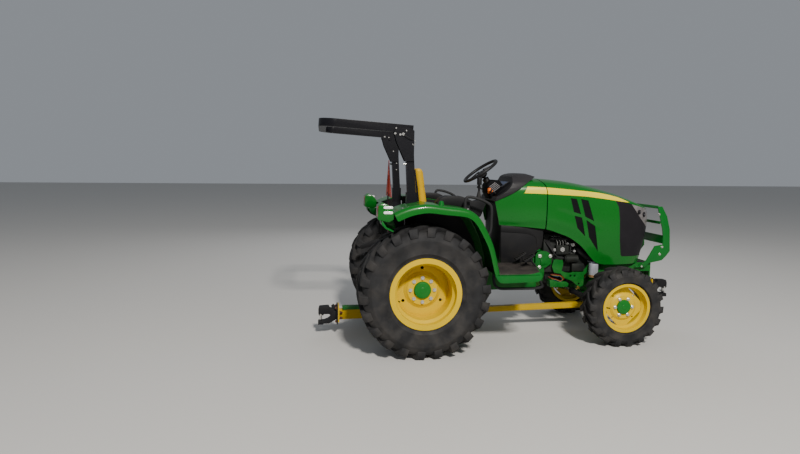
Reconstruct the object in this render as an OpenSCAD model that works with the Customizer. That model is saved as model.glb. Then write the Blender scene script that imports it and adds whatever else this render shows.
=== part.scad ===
// Compact utility tractor with a folding roll-over frame, a tipping brush guard
// and a tow tube that carries a pintle hitch at each end.
// X runs forward, Y to the tractor's left, Z up from the ground. Millimetres.

/* [Wheels] */
// Distance between the rear and the front axle
wheelbase = 1738; // [1650:1:1850]
// Outside radius of a rear tyre, out to the lugs' tips
rear_tyre_r = 522; // [500:1:535]
// Section width of a rear tyre
rear_tyre_w = 400; // [370:1:410]
// Distance between the middles of the rear tyres
rear_track = 1230; // [1215:1:1300]
// Outside radius of a rear rim's flange
rear_flange_r = 282; // [270:1:290]
// Outside radius of a front tyre, out to the lugs' tips
front_tyre_r = 333; // [320:1:345]
// Section width of a front tyre
front_tyre_w = 216; // [200:1:225]
// Distance between the middles of the front tyres
front_track = 1110; // [1090:1:1160]
// Outside radius of a front rim's flange
front_flange_r = 208; // [202:1:212]
// Height of a rear lug
rear_lug_h = 30; // [22:1:36]
// Height of a front lug
front_lug_h = 22; // [16:1:28]
// Lugs down each side of a rear tyre
rear_lugs = 22; // [18:1:24]
// Lugs down each side of a front tyre
front_lugs = 18; // [15:1:20]

/* [Fenders and platform] */
// Gap between the fender walls and the middle plane
fender_inner_y = 394; // [385:1:398]
// Distance from the middle plane to a fender's outer edge
fender_outer_y = 790; // [770:1:810]
// Thickness of a fender's skin
fender_skin = 7; // [5:1:9]
// Depth of the outer lip over the tyre
lip_depth = 76; // [60:1:85]
// Height of the footboards' upper face
footboard_top = 662; // [650:1:675]
// Thickness of a footboard's plate
footboard_t = 6; // [4:1:10]

/* [Hood] */
// Half the hood's width at its widest
hood_half_w = 290; // [275:1:300]
// Front end of the hood's nose
hood_nose_x = 2224; // [2200:1:2230]
// Thickness of the hood's skin
hood_skin = 7; // [5:1:9]
// Plane where the hood meets the cowl
hood_seam_x = 1153; // [1147:1:1160]
// Gap in the seam between hood and cowl
seam_gap = 8; // [7:0.5:10]

/* [Roll-over frame] */
// Side of the square tube
rops_tube = 63.5; // [55:0.5:70]
// Distance from the middle plane to an upright
rops_y = 466; // [455:1:475]
// Height of the top of an upright
rops_leg_top = 1650; // [1620:1:1665]
// Reach of the folding hoop from its hinge bolt
hoop_reach = 668; // [600:1:720]
// Radius of the hoop's bends
hoop_bend_r = 110; // [90:1:140]

/* [Towing] */
// Side of the square tow tube
tow_tube = 50; // [45:1:55]
// Reach of the rear hook behind the rear axle
rear_reach = 829; // [810:1:850]
// Reach of the front hook ahead of the rear axle
front_reach = 2493; // [2470:1:2510]
// Radius of the drawbar's pin hole
drawbar_hole_r = 14; // [10:0.5:16]
// Radius of a loader mounting hole in the frame plates
loader_hole_r = 9; // [7:0.5:10]
// Distance between the two upper loader holes
loader_hole_pitch = 39; // [36:1:46]

/* [Hidden] */

green = [0.10, 0.45, 0.14];
yellow = [0.95, 0.80, 0.05];
black = [0.10, 0.10, 0.11];
dark = [0.20, 0.20, 0.21];
steel = [0.62, 0.63, 0.65];
rubber = [0.17, 0.16, 0.16];
orange = [0.85, 0.30, 0.16];
lamp = [0.80, 0.82, 0.85];

fit = 0.3;
mid_x = (front_reach - rear_reach) / 2;
tyre_top = 2 * rear_tyre_r;

// Small tools that every piece uses.
function mix(a, b, t) = a + (b - a) * t;
function unit(v) = v / norm(v);
function smooth_at(a, b, c, d, t) = 0.5 * (2 * b + (c - a) * t
    + (2 * a - 5 * b + 4 * c - d) * t * t + (3 * b - a - 3 * c + d) * t * t * t);
function smooth(p, steps) = [for (i = [0:len(p) - 2]) for (k = [0:steps - 1])
    smooth_at(p[max(i - 1, 0)], p[i], p[i + 1], p[min(i + 2, len(p) - 1)], k / steps), p[len(p) - 1]];
function heading(p, i) = unit(p[min(i + 1, len(p) - 1)] - p[max(i - 1, 0)]);
function reversed(p) = [for (i = [len(p) - 1:-1:0]) p[i]];
// An outline with every corner rounded off by a curve that starts r away from the corner.
function softened(p, r, steps = 4) = [for (i = [0:len(p) - 1])
    let (b = p[i], a = b + r * unit(p[(i + len(p) - 1) % len(p)] - b),
        c = b + r * unit(p[(i + 1) % len(p)] - b))
    for (k = [0:steps]) let (t = k / steps) (1 - t) * (1 - t) * a + 2 * t * (1 - t) * b + t * t * c];

module placed(c) color(c) translate([-mid_x, 0, 0]) children();

module both_sides() {
    children();
    mirror([0, 1, 0]) children();
}

// An outline in the side view, extruded across from y0 to y1.
module side_plate(points, y0, y1)
    translate([0, y1, 0]) rotate([90, 0, 0]) linear_extrude(y1 - y0) polygon(points);

// An outline in the front view, extruded along X from x0 to x1.
module cross_plate(points, x0, x1)
    translate([x0, 0, 0]) rotate([90, 0, 90]) linear_extrude(x1 - x0) polygon(points);

// A box between two corners.
module block(a, b) translate(a) cube(b - a);

// A round bar between two points.
module bar(a, b, r) {
    d = b - a;
    translate(a) rotate([0, acos(d[2] / norm(d)), atan2(d[1], d[0])]) cylinder(h = norm(d), r = r, $fn = 32);
}

// A cylinder along Y.
module drum(x, z, y0, y1, r) translate([x, y0, z]) rotate([-90, 0, 0]) cylinder(h = y1 - y0, r = r, $fn = 48);

// A skin through rings of equal length that run anticlockwise as seen from the last one.
module loft(rings) {
    n = len(rings[0]);
    last = (len(rings) - 1) * n;
    sides = [for (j = [0:len(rings) - 2]) for (i = [0:n - 1]) let (a = j * n + i, b = j * n + (i + 1) % n)
        each [[a, b + n, b], [a, a + n, b + n]]];
    polyhedron([for (r = rings) each r],
        concat([[for (i = [0:n - 1]) i]], sides, [[for (i = [n - 1:-1:0]) last + i]]));
}

// A round tube or hose along a list of points.
module tube(path, r, sides = 10, ref = [0, 1, 0]) {
    rings = [for (i = [0:len(path) - 1])
        let (t = heading(path, i), n = unit(cross(t, ref)), b = cross(t, n))
        [for (k = [0:sides - 1]) path[i] + r * (cos(360 * k / sides) * n + sin(360 * k / sides) * b)]];
    loft(rings);
}

// An open skin with a wall: two like grids of points, outside and inside, joined round their rims.
// Rows run from one lower edge over the top to the other, and follow each other from rear to front.
// A closed front is one where the last row folds onto the middle plane.
module skin(out_rows, in_rows, closed_front = false) {
    n = len(out_rows[0]);
    m = len(out_rows);
    half = n * m;
    function id(j, i) = j * n + (closed_front && j == m - 1 && 2 * i > n - 1 ? n - 1 - i : i);
    function quad(a, b, c, d) = [for (t = [[a, b, c], [a, c, d]]) if (t[0] != t[1] && t[1] != t[2] && t[0] != t[2]) t];
    walls = [for (j = [0:m - 2]) for (i = [0:n - 2]) each concat(
        quad(id(j, i), id(j, i + 1), id(j + 1, i + 1), id(j + 1, i)),
        quad(half + id(j, i), half + id(j + 1, i), half + id(j + 1, i + 1), half + id(j, i + 1)))];
    rear = [for (i = [0:n - 2]) each quad(i + 1, i, half + i, half + i + 1)];
    front = closed_front ? [] : [for (i = [0:n - 2]) let (a = (m - 1) * n + i) each quad(a, a + 1,
        half + a + 1, half + a)];
    edges = [for (j = [0:m - 2]) each concat(
        quad(id(j, 0), id(j + 1, 0), half + id(j + 1, 0), half + id(j, 0)),
        quad(id(j + 1, n - 1), id(j, n - 1), half + id(j, n - 1), half + id(j + 1, n - 1)))];
    polyhedron([for (r = out_rows) each r, for (r = in_rows) each r], concat(walls, rear, front, edges));
}

// Wheels. Each is made with its outer side towards +Y about its own middle.
rim_wall = 6.5;
rear_rim_half = 185;
rear_bead_r = 248;
front_rim_half = 90;
front_bead_r = 190;

// Share of the height from bead to tread, share of the half width.
TYRE_OUT = [[0.20, 0.93], [0.36, 0.985], [0.52, 1.0], [0.68, 0.985], [0.82, 0.95], [0.92, 0.885],
    [0.97, 0.80], [0.99, 0.6], [1, 0.3]];
TYRE_IN = [[0.2, 0.80], [0.45, 0.88], [0.7, 0.85], [0.86, 0.7], [0.89, 0.3]];

module turned() rotate([-90, 0, 0]) rotate_extrude($fn = 128) children();

module tyre_carcass(tread_r, w, bead_r, flange_r, rim_half) {
    seat = rim_half - rim_wall - fit;
    base = bead_r + fit;
    rise = tread_r - base;
    outer = [for (p = TYRE_OUT) [base + p[0] * rise, p[1] * w / 2]];
    inner = [for (p = TYRE_IN) [base + p[0] * rise, p[1] * w / 2]];
    half = concat([[base, seat], [flange_r + 2 * fit, seat]], outer);
    hollow = concat([[base, seat - 30]], inner);
    turned() polygon(concat(half, [for (p = reversed(half)) [p[0], -p[1]]],
        [for (p = hollow) [p[0], -p[1]]], reversed(hollow)));
}

// One lug: stations from the middle of the tread out over the shoulder.
// Share of the half width, share of the sweep, drop of the top, half the lug's width.
LUG = [[-0.07, 0, 0, 0.15], [0.32, 0.50, 0.02, 0.185], [0.66, 0.84, 0.05, 0.215], [0.9, 0.97, 0.16, 0.235],
    [0.985, 1, 1.3, 0.225]];

module lug(r, w, h, count, turn) {
    pitch = 360 / count;
    sweep = 0.95 * (w / 2) / r * 180 / PI;
    root = [1.35, 1.4, 1.5, 2.0, 2.6] * h;
    rings = [for (k = [0:len(LUG) - 1]) let (s = LUG[k], a = turn + sweep * s[1], b = s[3] * pitch,
        y = s[0] * w / 2, top = r - s[2] * h, foot = r - root[k])
        [[top * cos(a - b), y, top * sin(a - b)], [top * cos(a + b), y, top * sin(a + b)],
        [foot * cos(a + b * 1.12), y, foot * sin(a + b * 1.12)],
            [foot * cos(a - b * 1.12), y, foot * sin(a - b * 1.12)]]];
    loft([for (g = rings) reversed(g)]);
}

module tyre(r, w, bead_r, flange_r, rim_half, lug_h, lugs) {
    tyre_carcass(r - lug_h, w, bead_r, flange_r, rim_half);
    for (i = [0:lugs - 1]) {
        lug(r, w, lug_h, lugs, -90 + i * 360 / lugs);
        mirror([0, 1, 0]) lug(r, w, lug_h, lugs, -90 + (i + 0.5) * 360 / lugs);
    }
}

module rim_barrel(flange_r, bead_r, half, well_r) {
    w = rim_wall;
    turned() polygon([[flange_r, half], [flange_r, half - w], [bead_r, half - w], [bead_r - 3, half - 42],
        [well_r, half - 60], [well_r, -half + 60], [bead_r - 3, -half + 42], [bead_r, -half + w],
        [flange_r, -half + w], [flange_r, -half], [bead_r - w, -half], [bead_r - w - 3, -half + 44],
        [well_r - w, -half + 62], [well_r - w, half - 62], [bead_r - w - 3, half - 44], [bead_r - w, half]]);
}

rear_well_r = 224;
rear_hub_r = 66;
rear_bolt_r = 97;
rear_face = 14;
boss_rise = 3;
nut_boss_r = 15;
module rear_rim() {
    inside = rear_well_r - rim_wall + 1;
    rim_barrel(rear_flange_r, rear_bead_r, rear_rim_half, rear_well_r);
    difference() {
        turned() polygon([[inside, -16], [206, -12], [150, -8], [128, 6], [120, rear_face],
            [rear_hub_r, rear_face],
            [rear_hub_r, rear_face + 14], [rear_hub_r - 8, rear_face + 20], [0, rear_face + 20],
            [0, -60], [38, -60], [38, -36], [112, -36], [112, 0], [128, -4], [150, -18], [206, -22],
                [inside, -26]]);
        for (a = [30:120:270]) rotate([0, a, 0]) drum(176, 0, -60, 60, 13);
    }
    for (a = [0:45:315]) rotate([0, a, 0]) drum(rear_bolt_r, 0, rear_face - 4, rear_face + boss_rise,
        nut_boss_r);
}

front_well_r = 171;
front_hub_r = 60;
front_face = 36;
front_bolt_r = 76;
module front_rim() {
    inside = front_well_r - rim_wall + 1;
    rim_barrel(front_flange_r, front_bead_r, front_rim_half, front_well_r);
    translate([0, front_face - 22, 0]) rotate([-90, 0, 0]) linear_extrude(8) difference() {
        intersection() {
            circle(r = inside, $fn = 96);
            rotate(45) square(2 * inside - 46, center = true);
        }
        circle(r = 112, $fn = 64);
        for (a = [0:90:270]) rotate(a + 45) translate([128, 0]) circle(r = 7, $fn = 24);
    }
    turned() polygon([[116, front_face - 22], [116, front_face - 12], [98, front_face],
        [front_hub_r, front_face],
        [front_hub_r, front_face + 8], [front_hub_r - 8, front_face + 14], [0, front_face + 14],
        [0, -32], [30, -32], [30, -12], [62, -12], [62, front_face - 10], [94, front_face - 10],
            [104, front_face - 22]]);
    for (a = [0:60:300]) rotate([0, a, 0]) drum(front_bolt_r, 0, front_face - 4, front_face + boss_rise,
        nut_boss_r - 2);
}

module on_rear_axle(side) translate([0, side * rear_track / 2, rear_tyre_r]) scale([1, side, 1]) children();
module on_front_axle(side) translate([wheelbase, side * front_track / 2, front_tyre_r]) scale([1, side,
    1]) children();
module rear_tyre() tyre(rear_tyre_r, rear_tyre_w, rear_bead_r, rear_flange_r, rear_rim_half, rear_lug_h,
    rear_lugs);
module front_tyre() tyre(front_tyre_r, front_tyre_w, front_bead_r, front_flange_r, front_rim_half,
    front_lug_h, front_lugs);

module rear_tyre_left() placed(rubber) on_rear_axle(1) rear_tyre();
module rear_tyre_right() placed(rubber) on_rear_axle(-1) rear_tyre();
module rear_rim_left() placed(yellow) on_rear_axle(1) rear_rim();
module rear_rim_right() placed(yellow) on_rear_axle(-1) rear_rim();
module front_tyre_left() placed(rubber) on_front_axle(1) front_tyre();
module front_tyre_right() placed(rubber) on_front_axle(-1) front_tyre();
module front_rim_left() placed(yellow) on_front_axle(1) front_rim();
module front_rim_right() placed(yellow) on_front_axle(-1) front_rim();

// Driveline and engine.
case_half = 150;
case_low = 360;
case_top = 690;
rear_case_r = 190;
engine_rear_x = 1190;
engine_front_x = 1700;
engine_half = 150;
rail_low = 560;
engine_low = rail_low + fit;
sump_low = 440;
engine_top = 900;
crank_z = 660;
fan_z = 820;

// The sump ends short of the front axle.
sump_front_x = wheelbase - 148;

case_floor = 352;
case_tail = [[-225, 420], [-150, case_floor]];
case_hump = [[-225, 700], [-150, 780]];
bell_z = 585;
bell_r = 185;
bell_len = 62;
// The clutch cover bolts on at each side of the bell, with a tapered boss ahead of it.
CLUTCH_COVER = [[1103, 640], [1104, 718], [1117, 745], [1157, 757], [1208, 751], [1246, 722], [1254, 680],
    [1244, 640],
    [1200, 606], [1130, 602]];
boss_x = 1150;
boss_z = 652;
boss_len = 106;
module transmission_case() placed(green) {
    both_sides() {
        side_plate(CLUTCH_COVER, case_half + fit, case_half + 40);
        difference() {
            translate([boss_x, case_half, boss_z]) rotate([0, 90, 0]) cylinder(h = boss_len, r1 = 56,
                r2 = 34, $fn = 48);
            block([boss_x - 5, 0, 500], [boss_x + boss_len + 5, case_half + fit, 800]);
        }
    }
    side_plate([case_hump[0], each case_tail, [230, case_floor], [330, case_low + 30],
        [engine_rear_x - 60, case_low + 60],
        [engine_rear_x - 60, case_top], [330, case_top], [240, 780], case_hump[1]], -case_half, case_half);
    drum(0, rear_tyre_r, -case_half - 60, case_half + 60, rear_case_r);
    translate([engine_rear_x - bell_len, 0, bell_z]) rotate([0, 90, 0]) cylinder(h = bell_len - fit,
        r = bell_r, $fn = 64);
    translate([-290, 0, 470]) rotate([0, 90, 0]) cylinder(h = 70, r = 26, $fn = 32);
    block([-262, -75, 540], [-224, 75, 552]);
}

housing_y = case_half + 60 + fit;
axle_end = rear_track / 2 - 38;
housing_len = axle_end - housing_y;
stub_r = 38;
pad_y = [300, 392];
pad_z = rear_tyre_r + 104;
module rear_axle_housing() placed(green) both_sides() difference() {
    union() {
        translate([0, housing_y, rear_tyre_r]) rotate([-90, 0, 0]) rotate_extrude($fn = 64)
            polygon([[0, 0], [150, 0], [150, 26], [105, 60], [84, housing_len - 40],
                [108, housing_len - 24], [108, housing_len], [0, housing_len]]);
        block([-115, pad_y[0], rear_tyre_r + 40], [60, pad_y[1], pad_z]);
    }
    drum(0, rear_tyre_r, axle_end - 40, axle_end + 5, stub_r + fit);
}

module engine() placed(dark) {
    block([engine_rear_x, -engine_half, engine_low], [engine_front_x, engine_half, engine_top]);
    side_plate([[engine_rear_x + 20, engine_low], [engine_rear_x + 60, sump_low],
        [sump_front_x - 50, sump_low],
        [sump_front_x, engine_low]], -sump_half, sump_half);
    block([engine_rear_x + 30, -85, engine_top], [engine_front_x - 40, 85, 985]);
    translate([engine_front_x, 0, crank_z]) rotate([0, 90, 0]) cylinder(h = 34, r = 65, $fn = 48);
    translate([engine_front_x, 0, fan_z]) rotate([0, 90, 0]) cylinder(h = 60, r = 45, $fn = 48);
    for (a = [0:60:300]) translate([engine_front_x + 48, 0, fan_z]) rotate([a, 0, 0]) rotate([0, 0, 25])
        block([-3, -26, 40], [3, 26, 190]);
}

filter_r = 42;
filter_x = 1634;
filter_y = -230;
filter_top = 645;
sump_half = 110;
side_y = -engine_half;
// Round fittings on the injection pump: X, Z, radius, reach from the engine's side.
FITTINGS = [[1284, 765, 15, 38], [1350, 770, 24, 54], [1399, 823, 11, 46], [1445, 812, 19, 56],
    [1464, 754, 14, 50]];
// The coolant hose's bends, and the intake pipe's ends.
HOSE = [[1500, -188, 768], [1530, -196, 738], [1598, -192, 692], [1650, side_y, 702]];
INTAKE = [[1245, -180, 868], [1392, -180, 862]];
hose_r = 22;
pipe_r = 6;
pump_y = -190;
PUMP_BOX = [[1242, 489], [1280, 488], [1322, 473], [1404, 471], [1426, 456], [1417, 424], [1252, 424]];
module engine_fittings() placed(steel) difference() {
    union() {
        translate([filter_x, filter_y, filter_top - 125]) cylinder(h = 125, r = filter_r, $fn = 48);
        block([filter_x - 24, filter_y, filter_top], [filter_x + 24, side_y, filter_top + 16]);
        block([1292, pump_y - 4, 722], [1412, side_y, 806]);
        for (p = FITTINGS) drum(p[0], p[1], side_y - p[3], side_y, p[2]);
        bar([1300, pump_y, 738], [1426, pump_y, 738], pipe_r);
        bar([1426, pump_y, 728], [1426, pump_y, 812], pipe_r + 1);
        block([1420, pump_y, 806], [1450, side_y, 818]);
        drum(HOSE[0][0], HOSE[0][2], HOSE[0][1], side_y, hose_r - 4);
        for (i = [0:len(HOSE) - 2]) {
            bar(HOSE[i], HOSE[i + 1], hose_r);
            translate(HOSE[i]) sphere(r = hose_r + 2, $fn = 32);
        }
        bar(INTAKE[0], INTAKE[1], 2 * pipe_r);
        for (p = INTAKE) drum(p[0], p[2], p[1] + 2, side_y, pipe_r + 3);
        translate([1385, side_y - 34, 682]) rotate([0, 90, 0]) cylinder(h = 110, r = 36, $fn = 48);
        side_plate(PUMP_BOX, side_y - 40, -sump_half - fit);
    }
    block([engine_rear_x - 50, side_y - fit, engine_low - 50], [engine_front_x + 50, 0, engine_top + 50]);
}

radiator_x = 1840;
rail_top = 640;
battery_x = [1940, 2085];
battery_half = 105;
tray_t = 12;
module radiator() placed(dark) {
    block([radiator_x, -220, rail_top + fit], [radiator_x + 50, 220, 1090]);
    block([radiator_x - 6, -226, 1050], [radiator_x + 56, 226, 1100]);
    block([battery_x[0], -battery_half, rail_top], [battery_x[1], battery_half, 850]);
    block([battery_x[0], -rail_y + fit, rail_top - tray_t], [2190, rail_y - fit, rail_top]);
}

rail_y = 172;
rail_t = 12;
guard_y = 206;
guard_t = 9;
guard_pin = [2105, 610];
guard_pin_r = 8;
axle_post_x = wheelbase - 36;
beam_low = 528;
front_plate_x = 2203;
loader_bolt = [1442, 525];
// The plate that carries a front loader hangs from the rail's rear end: its lower edge, then the rail's upper edge.
LOADER_PLATE = [[1263, 610], [1283, 560], [1314, 550], [1345, 548], [1384, 506], [1415, 495], [1457, 480],
    [1511, 433],
    [1543, 423], [1566, 437], [1572, 530]];
RAIL_REAR = [[1590, 600], [1560, 576], [1533, 572], [1516, 566], [1459, 569], [1444, 552], [1397, 556],
    [1356, 572],
    [1368, 638], [1360, 672], [1304, 678], [1278, 674]];
module frame_rails() placed(green) {
    both_sides() {
        difference() {
            side_plate(concat(LOADER_PLATE, [[1600, rail_low], [front_plate_x, rail_low],
                [front_plate_x, rail_top], [1610, rail_top]], RAIL_REAR), rail_y, rail_y + rail_t);
            for (p = [loader_bolt, loader_bolt + [loader_hole_pitch, 0], [1524, 451]])
                drum(p[0], p[1], rail_y - 10, rail_y + rail_t + 10, loader_hole_r);
        }
        for (x = [1300, 1600]) block([x, engine_half + fit, 570], [x + 60, rail_y, 610]);
        drum(guard_pin[0], guard_pin[1], rail_y + rail_t, guard_y - fit, 2 * guard_pin_r);
        drum(guard_pin[0], guard_pin[1], rail_y + rail_t, guard_y + guard_t + 5, guard_pin_r);
        drum(guard_pin[0], guard_pin[1], guard_y + guard_t + fit, guard_y + guard_t + 5, guard_pin_r + 6);
    }
    block([front_plate_x, -rail_y - rail_t, 499], [front_plate_x + 12, rail_y + rail_t, rail_top]);
    block([axle_post_x, -rail_y - rail_t, beam_low], [wheelbase + 60, rail_y + rail_t, rail_low]);
}

// Front axle, steering and knuckles.
king_y = 430;
king_z = front_tyre_r + 48;
king_r = 30;
boss_r = 56;
boss_half = 50;
arm_len = 120;
rod_r = 12;
ball_r = 9;
cylinder_r = 27;
rod_z = front_tyre_r - 20;
rod_x = wheelbase - arm_len;

module front_axle() placed(green) {
    drum(wheelbase, king_z, -king_y + boss_r - 12, king_y - boss_r + 12, 46);
    translate([wheelbase, 0, king_z]) sphere(r = 104, $fn = 48);
    both_sides() translate([wheelbase, king_y, king_z - boss_half]) difference() {
        cylinder(h = 2 * boss_half, r = boss_r, $fn = 48);
        translate([0, 0, -1]) cylinder(h = 2 * boss_half + 2, r = king_r + fit, $fn = 48);
    }
    block([axle_post_x, -55, king_z + 60], [wheelbase + 45, 55, beam_low - fit]);
    difference() {
        block([rod_x + 5, -50, rod_z - 36], [wheelbase - 40, 50, rod_z + 36]);
        drum(rod_x, rod_z, -60, 60, cylinder_r + fit);
    }
}

module steering_cylinder() placed(steel) difference() {
    union() {
        drum(rod_x, rod_z, -165, 165, cylinder_r);
        for (y = [-150, 150]) drum(rod_x, rod_z, y - 12, y + 12, 33);
    }
    drum(rod_x, rod_z, -171, 171, rod_r + fit);
}

module steering_rod() placed(steel) {
    rod_end = king_y - ball_r - 6;
    drum(rod_x, rod_z, -rod_end, rod_end, rod_r);
    both_sides() drum(rod_x, rod_z, rod_end - 36, rod_end, rod_r + 4);
}

// The case that holds a front wheel's bearing, made for the left side about the kingpin's foot.
hub_face_y = front_track / 2 - king_y - 12 - fit;
module knuckle() {
    low = king_z - boss_half - 2;
    high = king_z + boss_half + 2;
    difference() {
        union() {
            translate([0, 0, low - 50]) cylinder(h = high - low + 62, r = king_r, $fn = 48);
            translate([0, 0, high]) cylinder(h = 14, r = boss_r - 4, $fn = 48);
            translate([0, 0, low - 50]) cylinder(h = 50, r = boss_r, $fn = 48);
            block([-44, 20, low - 50], [44, hub_face_y - 30, low - 4]);
            drum(0, front_tyre_r, hub_face_y - 40, hub_face_y, 84);
        }
        drum(0, front_tyre_r, hub_face_y - 24, hub_face_y + 5, 30 + fit);
    }
    arm_z = low - 50;
    translate([0, 0, arm_z]) linear_extrude(14) polygon([[-20, -boss_r + 12], [-arm_len, -20],
        [-arm_len - 18, 0],
        [-arm_len, 20], [-20, boss_r - 12]]);
    translate([-arm_len, 0, arm_z]) cylinder(h = rod_z + 16 - arm_z, r = ball_r, $fn = 32);
}
module knuckle_left() placed(green) translate([wheelbase, king_y, 0]) knuckle();
module knuckle_right() placed(green) translate([wheelbase, -king_y, 0]) mirror([0, 1, 0]) knuckle();

// Hood. Rows run up the side and over the top: share of the half width, nose setback,
// share of the way from the low edge to the shoulder, drop below the crown.
HOOD = [[0.955, 78, 0, 0], [0.985, 40, 0.25, 0], [1, 8, 0.55, 0], [1, 0, 0.8, 0], [0.985, 5, 0.94, 0],
    [0.955, 14, 1, 0], [0.86, 34, 0, 34], [0.62, 50, 0, 12], [0.32, 58, 0, 3], [0, 60, 0, 0]];
HOOD_Q = [0, 0.2, 0.4, 0.58, 0.7, 0.79, 0.86, 0.91, 0.95, 0.98, 1];
CROWN = smooth([[900, 1404], [1100, 1402], [1241, 1396], [1433, 1376], [1615, 1338], [1763, 1299],
    [1911, 1256], [2024, 1214], [2146, 1168], [2240, 1112]], 4);
hood_low_z = 640;
hood_rear_x = hood_seam_x + seam_gap / 2;
shoulder_x = 1241;
nose_round = 7.7;
function crown(x) = lookup(x, CROWN);
function shoulder(x) = crown(x) - mix(66, 18, (x - shoulder_x) / (hood_nose_x - shoulder_x));
function hood_point(row, q, inset) = let (x = hood_rear_x + (hood_nose_x - row[1] - inset - hood_rear_x) * q,
    y = max(hood_half_w * row[0] - inset, 0) * sqrt(max(1 - pow(q, nose_round), 0)),
    z = row[3] > 0 || row[0] == 0 ? crown(x) - row[3] - inset : mix(hood_low_z, shoulder(x),
        row[2]) - (row[2] > 0.9 ? inset * 0.7 : 0))
    [x, row[0] == 0 ? 0 : -y, z];
function hood_row(q, inset) = let (side = [for (r = HOOD) hood_point(r, q, inset)])
    concat(side, [for (i = [len(side) - 2:-1:0]) [side[i][0], -side[i][1], side[i][2]]]);
module hood_skin_between(outside, inside) skin([for (q = HOOD_Q) hood_row(q, outside)],
    [for (q = HOOD_Q) hood_row(q, inside)], true);

ARCH = smooth([[749, 996], [950, 984], [1152, 964], [1270, 927], [1379, 885], [1488, 809], [1565, 726],
    [1633, 662], [1713, 640]], 3);
GRILLE = [[1784, 1223], [1820, 1159], [1836, 1043], [1846, 863], [1866, 728], [1880, 712], [2400, 704],
    [2400, 1075]];
LAMP_AREA = [[1950, 1182], [2400, 1074], [2400, 960], [2140, 978], [2060, 1048], [2000, 1120]];
SLOTS = [[[1366, 1236], [1422, 1229], [1467, 1095], [1399, 1115]],
    [[1461, 1229], [1529, 1216], [1591, 1034], [1507, 1074]],
    [[1408, 1082], [1479, 1065], [1515, 898], [1438, 974]], [[1520, 1044], [1604, 990], [1644, 760],
        [1551, 892]]];
pivot_x = hood_seam_x - 81;
pivot_z = 1369;
pivot_r = 8;
pivot_y = 120;
pivot_boss_r = 15;
// The hinge arm dips under the cowl's front edge, so that it can swing up past it.
HINGE_ARM = [[0, -14], [12, 8], [64, -56], [92, -40], [104, 20], [150, 18], [150, -8], [112, -52], [72, -80]];

module hood_shell() placed(green) {
    difference() {
        hood_skin_between(0, hood_skin);
        side_plate(concat([[1100, 600], [1100, 1000]], ARCH), -400, 400);
        side_plate(GRILLE, -400, 400);
        for (s = SLOTS) side_plate(s, -400, 400);
    }
    both_sides() difference() {
        union() {
            drum(pivot_x, pivot_z, pivot_y, pivot_y + 10, pivot_boss_r);
            side_plate([for (p = HINGE_ARM) [pivot_x + p[0], pivot_z + p[1]]], pivot_y, pivot_y + 10);
        }
        drum(pivot_x, pivot_z, pivot_y - 5, pivot_y + 15, pivot_r + fit);
    }
}

slit = 9;
slit_pitch = 26;
module hood_grille() placed(dark) difference() {
    intersection() {
        hood_skin_between(3, 11);
        side_plate(GRILLE, -400, 400);
    }
    side_plate(LAMP_AREA, -400, 400);
    for (z = [740:slit_pitch:960]) {
        block([1872, -400, z], [2040, 400, z + slit]);
        both_sides() block([2066, 14, z], [2400, 400, z + slit]);
    }
}

lamp_inner_y = 70;
module headlights() placed(lamp) intersection() {
    hood_skin_between(2, 14);
    both_sides() intersection() {
        side_plate(LAMP_AREA, lamp_inner_y, 400);
        side_plate(GRILLE, lamp_inner_y, 400);
    }
}

// Cowl behind the hood, with the hood's hinge posts.
COWL_X = [690, 860, 1000, hood_seam_x - seam_gap / 2];
COWL_W = [0.80, 0.88, 0.94, 1];
function cowl_row(i, inset) = let (x = COWL_X[i], side = [for (r = HOOD) let (z = r[3] > 0 || r[0] == 0 ?
    crown(x) - r[3] - inset : mix(900, shoulder(x), r[2]) - (r[2] > 0.9 ? inset * 0.7 : 0))
    [x, r[0] == 0 ? 0 : -max(hood_half_w * COWL_W[i] * r[0] - inset, 0), z]])
    concat(side, [for (k = [len(side) - 2:-1:0]) [side[k][0], -side[k][1], side[k][2]]]);
COWL_LOW = [[745, 997], [1000, 979], [1152, 964]];
COWL_TOP = [[1074, 1414], [991, 1366], [860, 1274], [701, 1200]];
COWL_SIDE = [each COWL_LOW, [1300, 915], [1300, 1500], [1090, 1500], each COWL_TOP];
function cowl_low(x) = lookup(x, COWL_LOW);
module cowl() placed(green) {
    intersection() {
        skin([for (i = [0:len(COWL_X) - 1]) cowl_row(i, 0)], [for (i = [0:len(COWL_X) - 1]) cowl_row(i,
            hood_skin)]);
        side_plate(COWL_SIDE, -400, 400);
    }
    both_sides() block([pivot_x - 10, pivot_y - 20, case_top + fit],
        [pivot_x + 10, pivot_y - 4, pivot_z + 10]);
    block([pivot_x - 10, -pivot_y + 10, 1180], [pivot_x + 10, pivot_y - 10, 1200]);
    block([pivot_x - 10, -hood_half_w * 0.93, 984], [pivot_x - 4, hood_half_w * 0.93, 1030]);
    both_sides() drum(pivot_x, pivot_z, pivot_y - 20, pivot_y + 16, pivot_r);
}

panel_y = 226;
panel_x = 764;
// A raised rib that arches over each side panel and runs down its front edge.
PANEL_RIB = [[760, 990], [1000, 974], [1146, 959], [1138, 728], [1108, 700], [1084, 716], [1092, 800],
    [1084, 868], [1046, 906],
    [960, 924], [760, 936]];
module side_panels() placed(black) {
    both_sides() side_plate([for (x = [756, 1000, 1150]) [x, cowl_low(x) - fit], [1142, 720], [1110, 696],
        [800, 690], [762, 720]], panel_y, panel_y + 12);
    both_sides() side_plate(PANEL_RIB, panel_y + 12, panel_y + 16);
    block([756, -panel_y, case_top + fit], [panel_x, panel_y, 1180]);
}

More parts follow.
